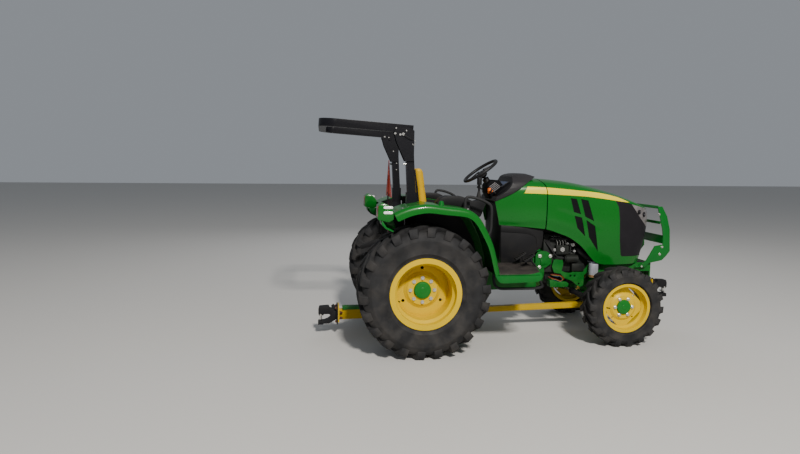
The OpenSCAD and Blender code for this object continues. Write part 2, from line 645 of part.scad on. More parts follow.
// The dash in the side view: a visor that follows the cowl's rear edge, the panel inside it,
// and the cover round the steering column with its louvres.
DASH_RIM = concat([for (p = COWL_TOP) p + [0, 1.3 * fit]], [[702, 1210], [712, 1238], [760, 1266],
    [806, 1300], [846, 1348],
    [862, 1394], [868, 1419], [900, 1438], [950, 1448], [1010, 1445], [1084, 1419]]);
DASH_PANEL = [[960, 1347], [860, 1276], [713, 1207], [722, 1258], [750, 1300], [800, 1332], [905, 1402],
    [960, 1412]];
COLUMN_COVER = softened([[706, 1212], [670, 1270], [668, 1340], [704, 1388], [780, 1384], [838, 1320],
    [836, 1280], [800, 1222]], 16);
dash_panel_half = 180;
cover_half = 86;
louvre = [78, -54];
// The shroud from the front: half width, height. It is as wide as the cowl where they meet.
DASH_HALF = [[228, 1180], [231, 1200], [250, 1274], [248, 1320], [229, 1366], [188, 1404], [150, 1430],
    [95, 1448]];
module dash_body() {
    side_plate(DASH_RIM, -260, 260);
    side_plate(DASH_PANEL, -dash_panel_half, dash_panel_half);
}
module dash_shroud() placed(black) difference() {
    union() {
        intersection() {
            dash_body();
            cross_plate(concat(DASH_HALF, [for (p = reversed(DASH_HALF)) [-p[0], p[1]]]), 600, 1200);
        }
        side_plate(COLUMN_COVER, -cover_half, cover_half);
        for (k = [0:7]) let (a = [680, 1256] + k * [5, 16])
            side_plate([a, a + louvre, a + louvre + [3, 5], a + [3, 5]], -cover_half - 3, cover_half + 3);
    }
    column_cut();
}

// Steering wheel and column, about an axis that leans back to the seat.
wheel_x = 628;
wheel_z = 1463;
wheel_lean = 34.5;
wheel_r = 178;
column_r = 30;
shaft_r = 11;
module on_column() translate([wheel_x, 0, wheel_z]) rotate([0, -wheel_lean, 0]) children();
module column_cut() on_column() translate([0, 0, -420]) cylinder(h = 420, r = column_r + 14, $fn = 48);
module steering_column() placed(black) {
    on_column() difference() {
        translate([0, 0, -330]) cylinder(h = 250, r = column_r, $fn = 48);
        translate([0, 0, -140]) cylinder(h = 80, r = shaft_r + fit, $fn = 32);
    }
    block([panel_x + fit, -50, 1140], [840, 50, 1200]);
}
module steering_wheel() placed(black) on_column() {
    rotate_extrude($fn = 96) translate([wheel_r - 14, 0]) circle(r = 14, $fn = 32);
    translate([0, 0, -70]) cylinder(h = 62, r = 38, $fn = 48);
    translate([0, 0, -135]) cylinder(h = 66, r = shaft_r, $fn = 32);
    for (a = [90, 210, 330]) rotate(a) hull() {
        translate([20, 0, -40]) cube([6, 34, 20], center = true);
        translate([wheel_r - 14, 0, 0]) cube([6, 22, 10], center = true);
    }
}

// Platform.
board_x = rear_tyre_r + 38;
board_inner_y = panel_y + 14;
// The board from above. Its front edge runs back from the middle to a rounded outer corner.
BOARD = [[board_x, board_inner_y], [1085, board_inner_y], [938, fender_outer_y - 24], [912, fender_outer_y],
    [board_x, fender_outer_y]];
// The skirt along the outer edge: distance ahead of the board's rear edge, height over the board.
SKIRT = [[-14, 0], [-2, -24], [21, -54], [57, -65], [187, -62], [326, -56], [355, -45], [370, -17],
    [362, 8], [349, 18],
    [320, 14], [287, 6], [200, 1], [14, 0]];
// The pipe that guards the board from below: distance ahead of the board's rear edge, Y, height over the board.
GUARD_PIPE = [[4, 690, -5], [10, 700, -87], [36, 705, -116], [80, 706, -127], [340, 706, -127],
    [424, 660, -122], [442, 560, -100],
    [440, 520, -5]];
module footboards() placed(green) both_sides() {
    translate([0, 0, footboard_top - footboard_t]) linear_extrude(footboard_t) polygon(BOARD);
    side_plate([for (p = SKIRT) [board_x + p[0], footboard_top + p[1]]], fender_outer_y - 8, fender_outer_y);
    for (x = [620, 860]) block([x, case_half + fit, footboard_top - 44],
        [x + 40, fender_outer_y - 8, footboard_top - footboard_t]);
    tube([for (p = GUARD_PIPE) [board_x + p[0], p[1], footboard_top + p[2]]], 11, 10);
}

// Stalks and levers by their two ends and radius.
PEDALS = [[905, -360], [940, -470], [900, 340]];
pedal_z = footboard_top + 82;
LEVERS = [[[745, -150, 1262], [690, -150, 1290], 6], [[692, -150, 1289], [664, -150, 1303], 17],
    [[745, 160, 1262], [680, 190, 1305], 6], [[682, 189, 1304], [660, 199, 1318], 13]];
module pedals_and_levers() placed(black) difference() {
    union() {
        for (p = PEDALS) {
            bar([p[0] + 66, p[1], footboard_top - 8], [p[0] - 4, p[1], pedal_z + 3], 7);
            translate([p[0], p[1], pedal_z]) rotate([0, -35, 0]) block([-60, -32, 0], [45, 32, 8]);
        }
        for (l = LEVERS) bar(l[0], l[1], l[2]);
    }
    block([500, -900, 500], [1100, 900, footboard_top + fit]);
    translate([-fit, 0, 0]) dash_body();
    side_plate(COLUMN_COVER, -cover_half - fit, cover_half + fit);
}

// Fenders. The crest is the outline of the top in the side view, from the rear to the front leg.
// Over the tyre it is given by its height above the tyre, down the leg by its distance ahead of the
// tyre and the share of the height from the footboard to the tyre's top.
CREST_OVER = [[-253, 107], [-180, 138], [-90, 163], [20, 173], [159, 155], [300, 138], [370, 111]];
CREST_LEG = [[-92, 1.147], [-36, 0.893], [17, 0.592], [50, 0.257], [72, 0]];
CREST = smooth([for (p = CREST_OVER) [p[0], tyre_top + p[1]], for (p = CREST_LEG) [rear_tyre_r + p[0],
    mix(footboard_top + fit, tyre_top, p[1])]], 3);
// The fender's section: distance in from the outer edge, depth below the crest, share of the lip's depth;
// first outside, then inside the skin.
FENDER_OUT = [[52, 0, 0], [26, 4, 0], [8, 18, 0], [0, 42, 0], [0, 0, 1]];
FENDER_IN = [[52, 1, 0], [30, 5, 0], [14, 21, 0], [7, 44, 0], [7, 0, 1]];
lip_low = 46;
function fender_point(row, i, skin_t) = let (h = heading(CREST, i),
    lip = mix(lip_depth, lip_low, i / (len(CREST) - 1)),
    d = min(row[1] + row[2] * lip + (row[1] < 10 && row[2] == 0 ? skin_t : 0), lip))
    [CREST[i][0] + d * h[1], fender_outer_y - row[0], CREST[i][1] - d * h[0]];
function fender_row(i, rows, skin_t) = [[CREST[i][0] + skin_t * heading(CREST, i)[1], fender_inner_y,
    CREST[i][1] - skin_t * heading(CREST, i)[0]],
    for (row = rows) fender_point(row, i, skin_t)];
leg_x = -75;
socket = 80;
module fender() {
    difference() {
        union() {
            skin([for (i = [0:len(CREST) - 1]) fender_row(i, FENDER_OUT, 0)],
                [for (i = [0:len(CREST) - 1]) fender_row(i, FENDER_IN, fender_skin)]);
            side_plate(concat(CREST, [[330, footboard_top + fit], [300, 860], [-246, 860]]), fender_inner_y,
                fender_inner_y + fender_skin);
        }
        block([leg_x - socket / 2 - 6, fender_inner_y - 10, tyre_top - 54],
            [leg_x + socket / 2 + 6, rops_y + socket / 2 + 6, tyre_top + 256]);
        block([rear_tyre_r - 60, fender_inner_y - 10, footboard_top - lip_depth],
            [rear_tyre_r + 100, fender_outer_y + 10, footboard_top + fit]);
    }
}
module fenders() placed(green) both_sides() fender();

module under_crest() side_plate(concat([for (p = CREST) p + [0, fit]],
    [[700, footboard_top], [700, 0], [-300, 0]]), -900, 900);
module consoles() placed(black) difference() {
    union() {
        side_plate([[124, 1150], [128, 1215], [160, 1252], [215, 1266], [330, 1262], [392, 1238],
            [440, 1220], [530, 1245], [540, 1200], [500, 1100], [440, 1060]], -500, -420);
        side_plate([[124, 1150], [128, 1215], [160, 1252], [215, 1266], [330, 1262], [392, 1238],
            [398, 1150]], -540, -420);
        side_plate([[150, 1150], [156, 1225], [190, 1245], [330, 1240], [380, 1218], [392, 1120]], 430, 530);
        bar([490, -455, 1235], [494, -455, 1370], 9);
        translate([494, -455, 1355]) cylinder(h = 58, r = 20, $fn = 32);
    }
    under_crest();
}

rail_tube = 12;
// The rail's line: distance ahead of the tyre, height over the tyre. Both ends run on into the fender.
RAIL = smooth([for (p = [[-185, 108], [-181, 192], [-156, 218], [-70, 202], [12, 164], [34, 121], [34, 31],
    [31, -44], [14, -89],
    [-22, -108]]) [rear_tyre_r + p[0], tyre_top + p[1]]], 2);
module grab_rails() placed(black) for (s = [-1, 1]) difference() {
    tube([for (p = RAIL) [p[0], s * 610, p[1]]], rail_tube, 10);
    under_crest();
}

// Seat.
deck_z = 862;
seat_z = 1028;
module seat_base() placed(black) {
    block([-20, -fender_inner_y + fit, deck_z], [540, fender_inner_y - fit, deck_z + 8]);
    block([-238, -300, deck_z], [-20, 300, deck_z + 8]);
    difference() {
        union() {
            block([534, -fender_inner_y + fit, footboard_top + fit], [540, fender_inner_y - fit, deck_z]);
            block([534, -fender_inner_y + fit, footboard_top + fit],
                [560, fender_inner_y - fit, footboard_top + 6]);
        }
        block([500, -case_half - fit, footboard_top], [600, case_half + fit, case_top + fit]);
    }
    side_plate([[90, deck_z + 8], [110, 960], [60, 1020], [60, seat_z], [500, seat_z], [500, 1020],
        [440, 960], [460, deck_z + 8]], -150, 150);
}

// Rings of a padded block, each a rounded rectangle across the seat.
function pad_ring(x, half, low, high, r) = let (n = 3)
    [for (c = [[half - r, high - r, 0], [-half + r, high - r, 90], [-half + r, low + r, 180],
        [half - r, low + r, 270]])
        for (k = [0:n]) let (a = c[2] + 90 * k / n) [x, c[0] + r * cos(a), c[1] + r * sin(a)]];
module seat_cushion() placed(yellow) loft([for (p = [[62, 200, 1040, 1100, 20],
    [90, 228, seat_z + fit, 1128, 34], [250, 232, seat_z + fit, 1110, 34],
    [430, 232, seat_z + fit, 1122, 34], [500, 222, 1032, 1112, 34],
        [522, 190, 1050, 1092, 20]]) pad_ring(p[0], p[1], p[2], p[3], p[4])]);
function upright(ring, foot_x, foot_z) = [for (p = ring) [foot_x - 0.134 * (p[0] - foot_z) + p[2], p[1],
    p[0]]];
module seat_back() placed(yellow) loft([for (p = [[1128.3, 205, -10, 60, 20], [1160, 230, -22, 72, 34],
    [1300, 234, -20, 62, 34],
    [1430, 226, -20, 60, 34], [1482, 190, -14, 52, 26], [1502, 130, 0, 36,
        14]]) reversed(upright(pad_ring(p[0], p[1], p[2], p[3], p[4]), 55, 1132))]);

// Roll-over frame: fixed uprights with hinge plates, and the hoop folded back on its bolts.
hinge_x = -150;
hinge_z = rops_leg_top + 102;
hinge_r = 10;
hinge_gap = 3;
hinge_plate = 8;
rest_lean = 86;
arm_offset = 45;
socket_top = tyre_top + 246;
// A hinge plate in the side view: X, height over the top of the upright.
HINGE_PLATE = [[-62, -110], [-132, -110], [-200, 40], [-222, 120], [-205, 150], [-95, 156], [-60, 130]];
module rops_leg() {
    h = rops_tube / 2;
    difference() {
        union() {
            cross_plate([[rops_y - socket / 2, socket_top], [rops_y + socket / 2, socket_top],
                [rops_y + socket / 2, tyre_top + 76], [386, tyre_top - 54], [386, pad_z + 18],
                    [306, pad_z + 18],
                [306, tyre_top - 22], [rops_y - socket / 2, tyre_top + 114]], leg_x - socket / 2,
                    leg_x + socket / 2);
            side_plate([[leg_x - h, socket_top - 2], [leg_x + h, socket_top - 2],
                [leg_x + h - 20, rops_leg_top],
                [leg_x - h - 20, rops_leg_top]], rops_y - h, rops_y + h);
            block([-115, pad_y[0], pad_z + fit], [60, pad_y[1], pad_z + 20]);
            for (y = [rops_y - h - hinge_gap - hinge_plate, rops_y + h + hinge_gap])
                side_plate([for (p = HINGE_PLATE) [p[0], rops_leg_top + p[1]]], y, y + hinge_plate);
            for (y = [rops_y - h - hinge_gap, rops_y + h])
                block([-128, y, rops_leg_top - 105], [-66, y + hinge_gap, rops_leg_top - 8]);
        }
    }
    drum(hinge_x, hinge_z, rops_y - h - hinge_gap - hinge_plate - 8,
        rops_y + h + hinge_gap + hinge_plate + 8, hinge_r);
}
module rops_legs() placed(black) both_sides() rops_leg();

module rops_hoop() placed(black) translate([hinge_x, 0, hinge_z]) rotate([0, -rest_lean, 0]) difference() {
    h = rops_tube / 2;
    b = hoop_bend_r;
    union() {
        both_sides() {
            block([arm_offset - h, rops_y - h, -80], [arm_offset + h, rops_y + h, hoop_reach - h - b]);
            translate([arm_offset, rops_y - b, hoop_reach - h - b]) rotate([90, 0,
                90]) rotate_extrude(angle = 90, $fn = 96)
                translate([b, 0]) square(rops_tube, center = true);
            block([-16, rops_y - h, -30], [arm_offset, rops_y - h + 8, 60]);
            block([-16, rops_y + h - 8, -30], [arm_offset, rops_y + h, 60]);
        }
        block([arm_offset - h, -rops_y + b, hoop_reach - 2 * h], [arm_offset + h, rops_y - b, hoop_reach]);
    }
    drum(0, 0, -600, 600, hinge_r + fit);
}

module warning_triangle() placed(orange) {
    cross_plate([[-200, 1233], [200, 1233], [14, 1550], [-14, 1550]], -206, -202);
    block([-214, -14, deck_z + 8 + fit], [-206, 14, 1420]);
}

// A lamp pod in the side view: X, height over the tyre. It stands off the fender's rear edge.
POD = [[-372, 54], [-368, 156], [-338, 182], [-290, 162], [-253 - fit, 116], [-253 - fit, 54], [-290, 34]];
pod_y = [600, 770];
POD_FRONT = softened([[pod_y[0], 20], [pod_y[1], 20], [pod_y[1], 190], [pod_y[0], 190]], 30);
module fender_lamps() placed(green) both_sides() intersection() {
    side_plate(softened([for (p = POD) [p[0], tyre_top + p[1]]], 8), pod_y[0], pod_y[1]);
    cross_plate([for (p = POD_FRONT) [p[0], tyre_top + p[1]]], POD[0][0] - 5, 0);
}

// Towing gear. The tube climbs a little to the front.
tube_slope = 1.375;
tube_z0 = 174;
rear_plate_x = -641;
front_plate_end = 2310;
post_x = 2255;
rear_hook_z = 184;
front_hook_z = 369;
drawbar_z = 225;
function tube_z(x) = tube_z0 + x * tan(tube_slope);
module tow_bar() placed(yellow) {
    h = tow_tube / 2;
    side_plate([[rear_plate_x, tube_z(rear_plate_x) - h], [front_plate_end, tube_z(front_plate_end) - h],
        [front_plate_end, tube_z(front_plate_end) + h], [rear_plate_x, tube_z(rear_plate_x) + h]], -h, h);
    block([rear_plate_x, -h, tube_z(rear_plate_x) + h - 4], [-120, h, drawbar_z - fit]);
    block([rear_plate_x - 12, -75, 121], [rear_plate_x, 75, 264]);
    both_sides() for (x = [-130, 150]) block([x, h, tube_z(x) - 10], [x + 40, h + 8, case_floor - fit]);
    block([post_x, -h, tube_z(post_x)], [post_x + tow_tube, h, 520]);
    block([front_plate_x + 12 + fit, -h, 500], [post_x + tow_tube, h, 550]);
    block([front_plate_x + 12 + fit, -80, 505], [front_plate_x + 24, 80, 575]);
    block([front_plate_end - 5, -75, 205], [front_plate_end + 7, 75, 456]);
}

// A pintle hook that faces +X, with its plate at x = 0: a lower jaw, a latch over it, and the pin
// that the latch carries. Its outline is drawn at a reach of 176.
HOOK = softened([[0, -48], [16, -46], [44, -64], [82, -84], [126, -84], [132, -92], [176, -92], [176, -60],
    [120, -55],
    [92, -45], [70, -28], [66, -8], [80, 2], [122, 2], [132, -9], [166, -9], [173, 4], [173, 44], [164, 70],
        [82, 75],
    [70, 50], [46, 53], [26, 31], [0, 31]], 3, 2);
hook_reach = 176;
hook_half = 30;
pin_x = 151;
module pintle(reach) {
    k = reach / hook_reach;
    difference() {
        union() {
            block([0, -70, -82], [12, 70, 82]);
            side_plate([for (p = HOOK) [p[0] * k, p[1]]], -hook_half, hook_half);
            side_plate([for (p = [[20, 24], [34, 30], [60, 70], [40, 88], [16, 60]]) [p[0] * k, p[1]]], -9,
                9);
            translate([pin_x * k, 0, -64]) cylinder(h = 70, r = 10, $fn = 32);
        }
        for (y = [-48, 48]) for (z = [-60, 60]) translate([-1, y, z]) rotate([0, 90, 0]) cylinder(h = 20,
            r = 7, $fn = 24);
    }
}
hook_x = [rear_plate_x - 12 - fit, front_plate_end + 7 + fit];
module front_hitch() placed(black) translate([hook_x[1], 0, front_hook_z]) pintle(front_reach - hook_x[1]);
module rear_hitch() placed(black) translate([hook_x[0], 0, rear_hook_z]) mirror([1, 0,
    0]) pintle(rear_reach + hook_x[0]);

module drawbar() placed(green) difference() {
    union() {
        block([-613, -38, drawbar_z], [-150, 38, drawbar_z + 25]);
        side_plate([[-150, drawbar_z + 10], [-225, drawbar_z + 10], case_tail[0] - [0, 1.4 * fit],
            case_tail[1] - [0, 1.4 * fit]], -70, 70);
    }
    translate([-575, 0, 200]) cylinder(h = 80, r = drawbar_hole_r, $fn = 48);
}

function hump_z(x) = mix(case_hump[0][1], case_hump[1][1], (x - case_hump[0][0]) / (case_hump[1][0] - case_hump[0][0]));
module lift_linkage() placed(black) {
    drum(-190, 815, -250, 250, 26);
    both_sides() side_plate([[-172, 845], [-215, 845], [-430, 770], [-446, 748], [-430, 728], [-200, 790],
        [-172, 795]], 226, 246);
    side_plate([[-215, 830], [-215, hump_z(-215) + 1.5 * fit], [-165, hump_z(-165) + 1.5 * fit],
        [-165, 830]], -60, 60);
}

// Brush guard: two side plates and three bars, pinned at its feet to the frame rails.
GUARD = [[2280, 1158], [2334, 1065], [2366, 949], [2379, 748], [2344, 702], [2305, 663], [2181, 639],
    [2142, 600], [2045, 600],
    [2045, 612], [2093, 618], [2152, 665], [2227, 795], [2306, 807], [2306, 860], [2294, 949], [2266, 1053],
        [2235, 1155]];
module brush_guard() placed(green) {
    both_sides() difference() {
        side_plate(GUARD, guard_y, guard_y + guard_t);
        drum(guard_pin[0], guard_pin[1], guard_y - 5, guard_y + guard_t + 5, guard_pin_r + fit);
    }
    side_plate([[2236, 1139], [2242, 1137], [2250, 1160], [2244, 1164]], -guard_y, guard_y);
    side_plate([[2269, 996], [2277, 996], [2277, 1022], [2269, 1022]], -guard_y, guard_y);
    side_plate([[2303, 816], [2311, 816], [2311, 892], [2303, 892]], -guard_y, guard_y);
}

transmission_case();
rear_axle_housing();
engine();
engine_fittings();
radiator();
frame_rails();
front_axle();
steering_cylinder();
cowl();
side_panels();
dash_shroud();
steering_column();
footboards();
pedals_and_levers();
fenders();
consoles();
grab_rails();
seat_base();
seat_cushion();
seat_back();
rops_legs();
warning_triangle();
fender_lamps();
front_hitch();
tow_bar();
rear_hitch();
drawbar();
lift_linkage();
brush_guard();
rops_hoop();
steering_wheel();
hood_shell();
hood_grille();
headlights();
knuckle_left();
knuckle_right();
steering_rod();
rear_tyre_left();
rear_tyre_right();
rear_rim_left();
rear_rim_right();
front_tyre_left();
front_tyre_right();
front_rim_left();
front_rim_right();
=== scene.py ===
import math

import bmesh
import bpy
from mathutils import Matrix, Vector


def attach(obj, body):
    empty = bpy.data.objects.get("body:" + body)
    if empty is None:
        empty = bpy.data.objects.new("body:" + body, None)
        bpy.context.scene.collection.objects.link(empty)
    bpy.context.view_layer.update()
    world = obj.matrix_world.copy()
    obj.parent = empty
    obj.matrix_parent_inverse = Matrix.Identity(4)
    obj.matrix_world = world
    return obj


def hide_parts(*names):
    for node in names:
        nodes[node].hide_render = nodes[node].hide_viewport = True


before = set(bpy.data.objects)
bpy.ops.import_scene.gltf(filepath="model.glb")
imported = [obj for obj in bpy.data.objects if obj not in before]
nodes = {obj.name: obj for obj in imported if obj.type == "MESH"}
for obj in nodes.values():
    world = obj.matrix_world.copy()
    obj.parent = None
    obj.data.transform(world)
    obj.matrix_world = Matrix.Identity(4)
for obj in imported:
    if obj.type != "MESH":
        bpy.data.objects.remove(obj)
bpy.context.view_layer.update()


# Camera, floor and light.
# The camera stands about five metres off the tractor's right side, level with
# its rear hook, and looks slightly down. Soft daylight comes from above.
REAR_AXLE = 832  # millimetres from the frame's origin back to the rear axle


def at(x, y, z):
    """A place given in millimetres from the rear axle, in the frame's metres."""
    return Vector(((x - REAR_AXLE) / 1000, y / 1000, z / 1000))


yaw, pitch, roll = -0.136, 0.108, 0.010
CAMERA_PLACE = (-784.4, -5009.2, 1506.7)
SENSOR, PICTURE_WIDTH, FOCAL_PIXELS = 36, 800, 568.6
FLOOR_HALF = 40
level = Vector((-math.sin(yaw), math.cos(yaw), 0))
beam = Vector((math.cos(yaw), math.sin(yaw), 0))
look = level * math.cos(pitch) - Vector((0, 0, 1)) * math.sin(pitch)
rise = Vector((0, 0, 1)) * math.cos(pitch) + level * math.sin(pitch)
right = beam * math.cos(roll) + rise * math.sin(roll)
rise = rise * math.cos(roll) - beam * math.sin(roll)

lens = bpy.data.cameras.new("camera")
lens.sensor_width = SENSOR
lens.lens = FOCAL_PIXELS / PICTURE_WIDTH * SENSOR
camera = bpy.data.objects.new("camera", lens)
bpy.context.scene.collection.objects.link(camera)
turned = Matrix((right, rise, -look)).transposed().to_4x4()
camera.matrix_world = Matrix.Translation(at(*CAMERA_PLACE)) @ turned
bpy.context.scene.camera = camera

floor_mesh = bpy.data.meshes.new("floor")
shape = bmesh.new()
bmesh.ops.create_grid(shape, x_segments=1, y_segments=1, size=FLOOR_HALF)
shape.to_mesh(floor_mesh)
shape.free()
floor = bpy.data.objects.new("floor", floor_mesh)
bpy.context.scene.collection.objects.link(floor)
pale = bpy.data.materials.new("pale_floor")
pale.use_nodes = True
pale_shader = pale.node_tree.nodes["Principled BSDF"]
pale_shader.inputs["Base Color"].default_value = (0.50, 0.49, 0.47, 1)
pale_shader.inputs["Roughness"].default_value = 0.9
floor_mesh.materials.append(pale)

sky = bpy.data.worlds.new("sky")
bpy.context.scene.world = sky
sky.use_nodes = True
sky_light = sky.node_tree.nodes["Background"]
sky_light.inputs["Color"].default_value = (0.86, 0.92, 1.0, 1)
sky_light.inputs["Strength"].default_value = 0.30


def soft_lamp(name, place, aim, size, power, tint):
    """A broad daylight lamp. Only the sun shows as a highlight on glossy finishes."""
    light = bpy.data.lights.new(name, "AREA")
    light.size = size
    light.energy = power
    light.color = tint
    lamp = bpy.data.objects.new(name, light)
    bpy.context.scene.collection.objects.link(lamp)
    lamp.location = place
    lamp.rotation_euler = (Vector(aim) - Vector(place)).to_track_quat("-Z", "Y").to_euler()
    lamp.visible_glossy = name == "sun_side"


soft_lamp("sun_side", (0.2, -9.4, 8.2), (0, 0, 0.8), 1.1, 2000, (1, 0.96, 0.90))
soft_lamp("sky_front", (-3.5, -6.0, 3.5), (0, 0, 0.8), 4.5, 30, (0.93, 0.96, 1))
soft_lamp("sky_back", (0.5, 6.0, 4.5), (0, 0, 0.8), 4.5, 120, (0.95, 0.97, 1))


# Tyres.
# Four industrial tyres of moulded black rubber. Their lugs run from the middle
# of the tread over the shoulder, and dust lies on the rubber.
NOISE_SPREAD = (0.3, 0.7)  # most of a noise's values lie between these
RELIEF_DEPTH = 0.001
CLEAR_COAT_ROUGHNESS = 0.08
METAL_SHINE = 0.5


def surface(name, colour, rough=0.5, tone=0.08, tone_scale=4, grain=0.05, grain_scale=300, metallic=0.0,
            coat=0.0, shine=0.18, dust=0.0, dust_top=1.2, dust_low=0.1, dust_colour=(0.30, 0.26, 0.20),
            rough_spread=0.08):
    """A finish with two tones, a fine grain in its gloss and relief, and dust that gathers low down."""
    material = bpy.data.materials.new(name)
    material.use_nodes = True
    tree = material.node_tree
    shader = tree.nodes["Principled BSDF"]
    place = tree.nodes.new("ShaderNodeTexCoord")

    def noise(scale, detail):
        node = tree.nodes.new("ShaderNodeTexNoise")
        node.inputs["Scale"].default_value = scale
        node.inputs["Detail"].default_value = detail
        tree.links.new(place.outputs["Object"], node.inputs["Vector"])
        return node.outputs["Fac"]

    def blend(factor, a, b):
        node = tree.nodes.new("ShaderNodeMix")
        node.data_type = "RGBA"
        tree.links.new(factor, node.inputs[0])
        for socket, value in ((node.inputs[6], a), (node.inputs[7], b)):
            if hasattr(value, "is_output"):
                tree.links.new(value, socket)
            else:
                socket.default_value = (*value, 1)
        return node.outputs[2]

    def remap(value, low, high, to_low, to_high):
        node = tree.nodes.new("ShaderNodeMapRange")
        tree.links.new(value, node.inputs["Value"])
        for socket, number in zip(("From Min", "From Max", "To Min", "To Max"), (low, high, to_low, to_high)):
            node.inputs[socket].default_value = number
        return node.outputs["Result"]

    soft = remap(noise(tone_scale, 3), *NOISE_SPREAD, 0, 1)
    tint = blend(soft, [c * (1 - tone) for c in colour], [min(c * (1 + tone), 1) for c in colour])
    if dust:
        split = tree.nodes.new("ShaderNodeSeparateXYZ")
        tree.links.new(place.outputs["Object"], split.inputs[0])
        height = remap(split.outputs["Z"], dust_top, dust_low, 0, 1)
        patch = remap(noise(9, 8), 0.42, 0.75, 0, dust)
        layer = tree.nodes.new("ShaderNodeMath")
        layer.operation = "MULTIPLY"
        tree.links.new(height, layer.inputs[0])
        tree.links.new(patch, layer.inputs[1])
        tint = blend(layer.outputs[0], tint, dust_colour)
    tree.links.new(tint, shader.inputs["Base Color"])
    fine = noise(grain_scale, 2)
    gloss = remap(fine, *NOISE_SPREAD, max(rough - rough_spread, 0.02), min(rough + rough_spread, 1))
    tree.links.new(gloss, shader.inputs["Roughness"])
    relief = tree.nodes.new("ShaderNodeBump")
    relief.inputs["Strength"].default_value = grain
    relief.inputs["Distance"].default_value = RELIEF_DEPTH
    tree.links.new(fine, relief.inputs["Height"])
    tree.links.new(relief.outputs["Normal"], shader.inputs["Normal"])
    shader.inputs["Metallic"].default_value = metallic
    shader.inputs["Specular IOR Level"].default_value = METAL_SHINE if metallic else shine
    if coat:
        shader.inputs["Coat Weight"].default_value = coat
        shader.inputs["Coat Roughness"].default_value = CLEAR_COAT_ROUGHNESS
    return material


def smooth_shading(piece, angle):
    """Shades curves as curves, and keeps edges that turn by more than so many degrees."""
    for face in piece.data.polygons:
        face.use_smooth = True
    split = piece.modifiers.new("crisp edges", "EDGE_SPLIT")
    split.split_angle = math.radians(angle)


WELD_GAP = 0.00002
SAME_POINT = 0.00001
SHARP_EDGE = 35


def dress(names, material, angle=32, edge=0.0):
    """Gives CAD nodes their finish, breaks their sharp edges by some millimetres, and shades curves as curves."""
    for name in names:
        node = nodes[name]
        node.data.materials.clear()
        node.data.materials.append(material)
        weld = node.modifiers.new("joined", "WELD")
        weld.merge_threshold = WELD_GAP
        if edge:
            broken = node.modifiers.new("broken edges", "BEVEL")
            broken.width = edge / 1000
            broken.segments = 2
            broken.limit_method = "ANGLE"
            broken.angle_limit = math.radians(SHARP_EDGE)
        smooth_shading(node, angle)


def loose_piece(shape, name):
    """A bmesh becomes an object, still without a finish."""
    mesh = bpy.data.meshes.new(name)
    shape.to_mesh(mesh)
    shape.free()
    piece = bpy.data.objects.new(name, mesh)
    bpy.context.scene.collection.objects.link(piece)
    return piece


def finish_piece(piece, material, body, angle=30, replaces=()):
    """Gives a piece its finish, the body that it rides on, and the CAD nodes that it stands for."""
    piece.data.materials.clear()
    piece.data.materials.append(material)
    smooth_shading(piece, angle)
    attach(piece, body)
    if replaces:
        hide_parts(*replaces)


def piece_from(shape, name, material, body, angle=32, replaces=()):
    """A bmesh becomes a finished piece."""
    finish_piece(loose_piece(shape, name), material, body, angle, replaces)


def lathe(profile, steps, outward=1):
    """Turns a closed outline of (radius, depth along Y) about a wheel's axle."""
    shape = bmesh.new()
    ring = [shape.verts.new((r, outward * y, 0)) for r, y in profile]
    edges = [shape.edges.new((a, b)) for a, b in zip(ring, ring[1:] + ring[:1])]
    bmesh.ops.spin(shape, geom=ring + edges, axis=(0, 1, 0), cent=(0, 0, 0), dvec=(0, 0, 0),
                   angle=2 * math.pi, steps=steps, use_merge=True, use_duplicate=False)
    bmesh.ops.remove_doubles(shape, verts=shape.verts, dist=SAME_POINT)
    bmesh.ops.recalc_face_normals(shape, faces=shape.faces)
    return shape


def mixed(a, b, t):
    """A value between two, at a share of the way."""
    return a + (b - a) * t


# share of the half width; share of the sweep; drop in lug heights; half the lug's width as a share of its pitch
LUG = ((-0.07, 0, 0, 0.15), (0.32, 0.50, 0.02, 0.185), (0.66, 0.84, 0.05, 0.215), (0.9, 0.97, 0.16, 0.235),
       (0.985, 1, 1.3, 0.225))
LUG_ROOT = (1.35, 1.4, 1.5, 2.0, 2.6)  # how deep each station's foot lies, in lug heights
LUG_SWEEP, LUG_FLARE, LUG_ROUNDING = 0.95, 1.12, 0.16


def lug_bar(shape, radius, width, height, count, turn, hand):
    """One lug, pushed out station by station from the middle of the tread, with rounded edges."""
    pitch = 2 * math.pi / count
    sweep = LUG_SWEEP * width / 2 / radius

    def corners(k):
        along, turned, drop, half = LUG[k]
        a, b, y = turn + sweep * turned, half * pitch, hand * along * width / 2
        top, foot = radius - drop * height, radius - LUG_ROOT[k] * height
        return [Vector((r * math.cos(a + s * b * f), y, r * math.sin(a + s * b * f)))
                for r, s, f in ((top, -1, 1), (top, 1, 1), (foot, 1, LUG_FLARE), (foot, -1, LUG_FLARE))]

    face = shape.faces.new([shape.verts.new(c) for c in corners(0)])
    for k in range(1, len(LUG)):
        out = bmesh.ops.extrude_face_region(shape, geom=[face])["geom"]
        tip = [g for g in out if isinstance(g, bmesh.types.BMFace)][0]
        for vert, place in zip(tip.verts, corners(k)):
            vert.co = place
        if k > 1:
            shape.faces.remove(face)
        face = tip


# share of the way from bead to tread; share of the half width
TYRE_SIDE = ((0.24, 0.945), (0.28, 0.975), (0.31, 0.965), (0.52, 0.998), (0.66, 0.99), (0.70, 0.998), (0.72, 0.985),
             (0.82, 0.95), (0.92, 0.885), (0.97, 0.80), (0.99, 0.6))
WHEEL_PLACE = {"rear": (0, 615, 522), "front": (1738, 555, 333)}
HANDS = (("left", 1), ("right", -1))
# radius; width; bead's radius; rim flange's radius; half the rim's width; lug height; lugs on each side
TYRE_SIZE = {"rear": (0.522, 0.400, 0.2483, 0.2826, 0.185, 0.030, 22),
             "front": (0.333, 0.216, 0.1903, 0.2086, 0.090, 0.022, 18)}


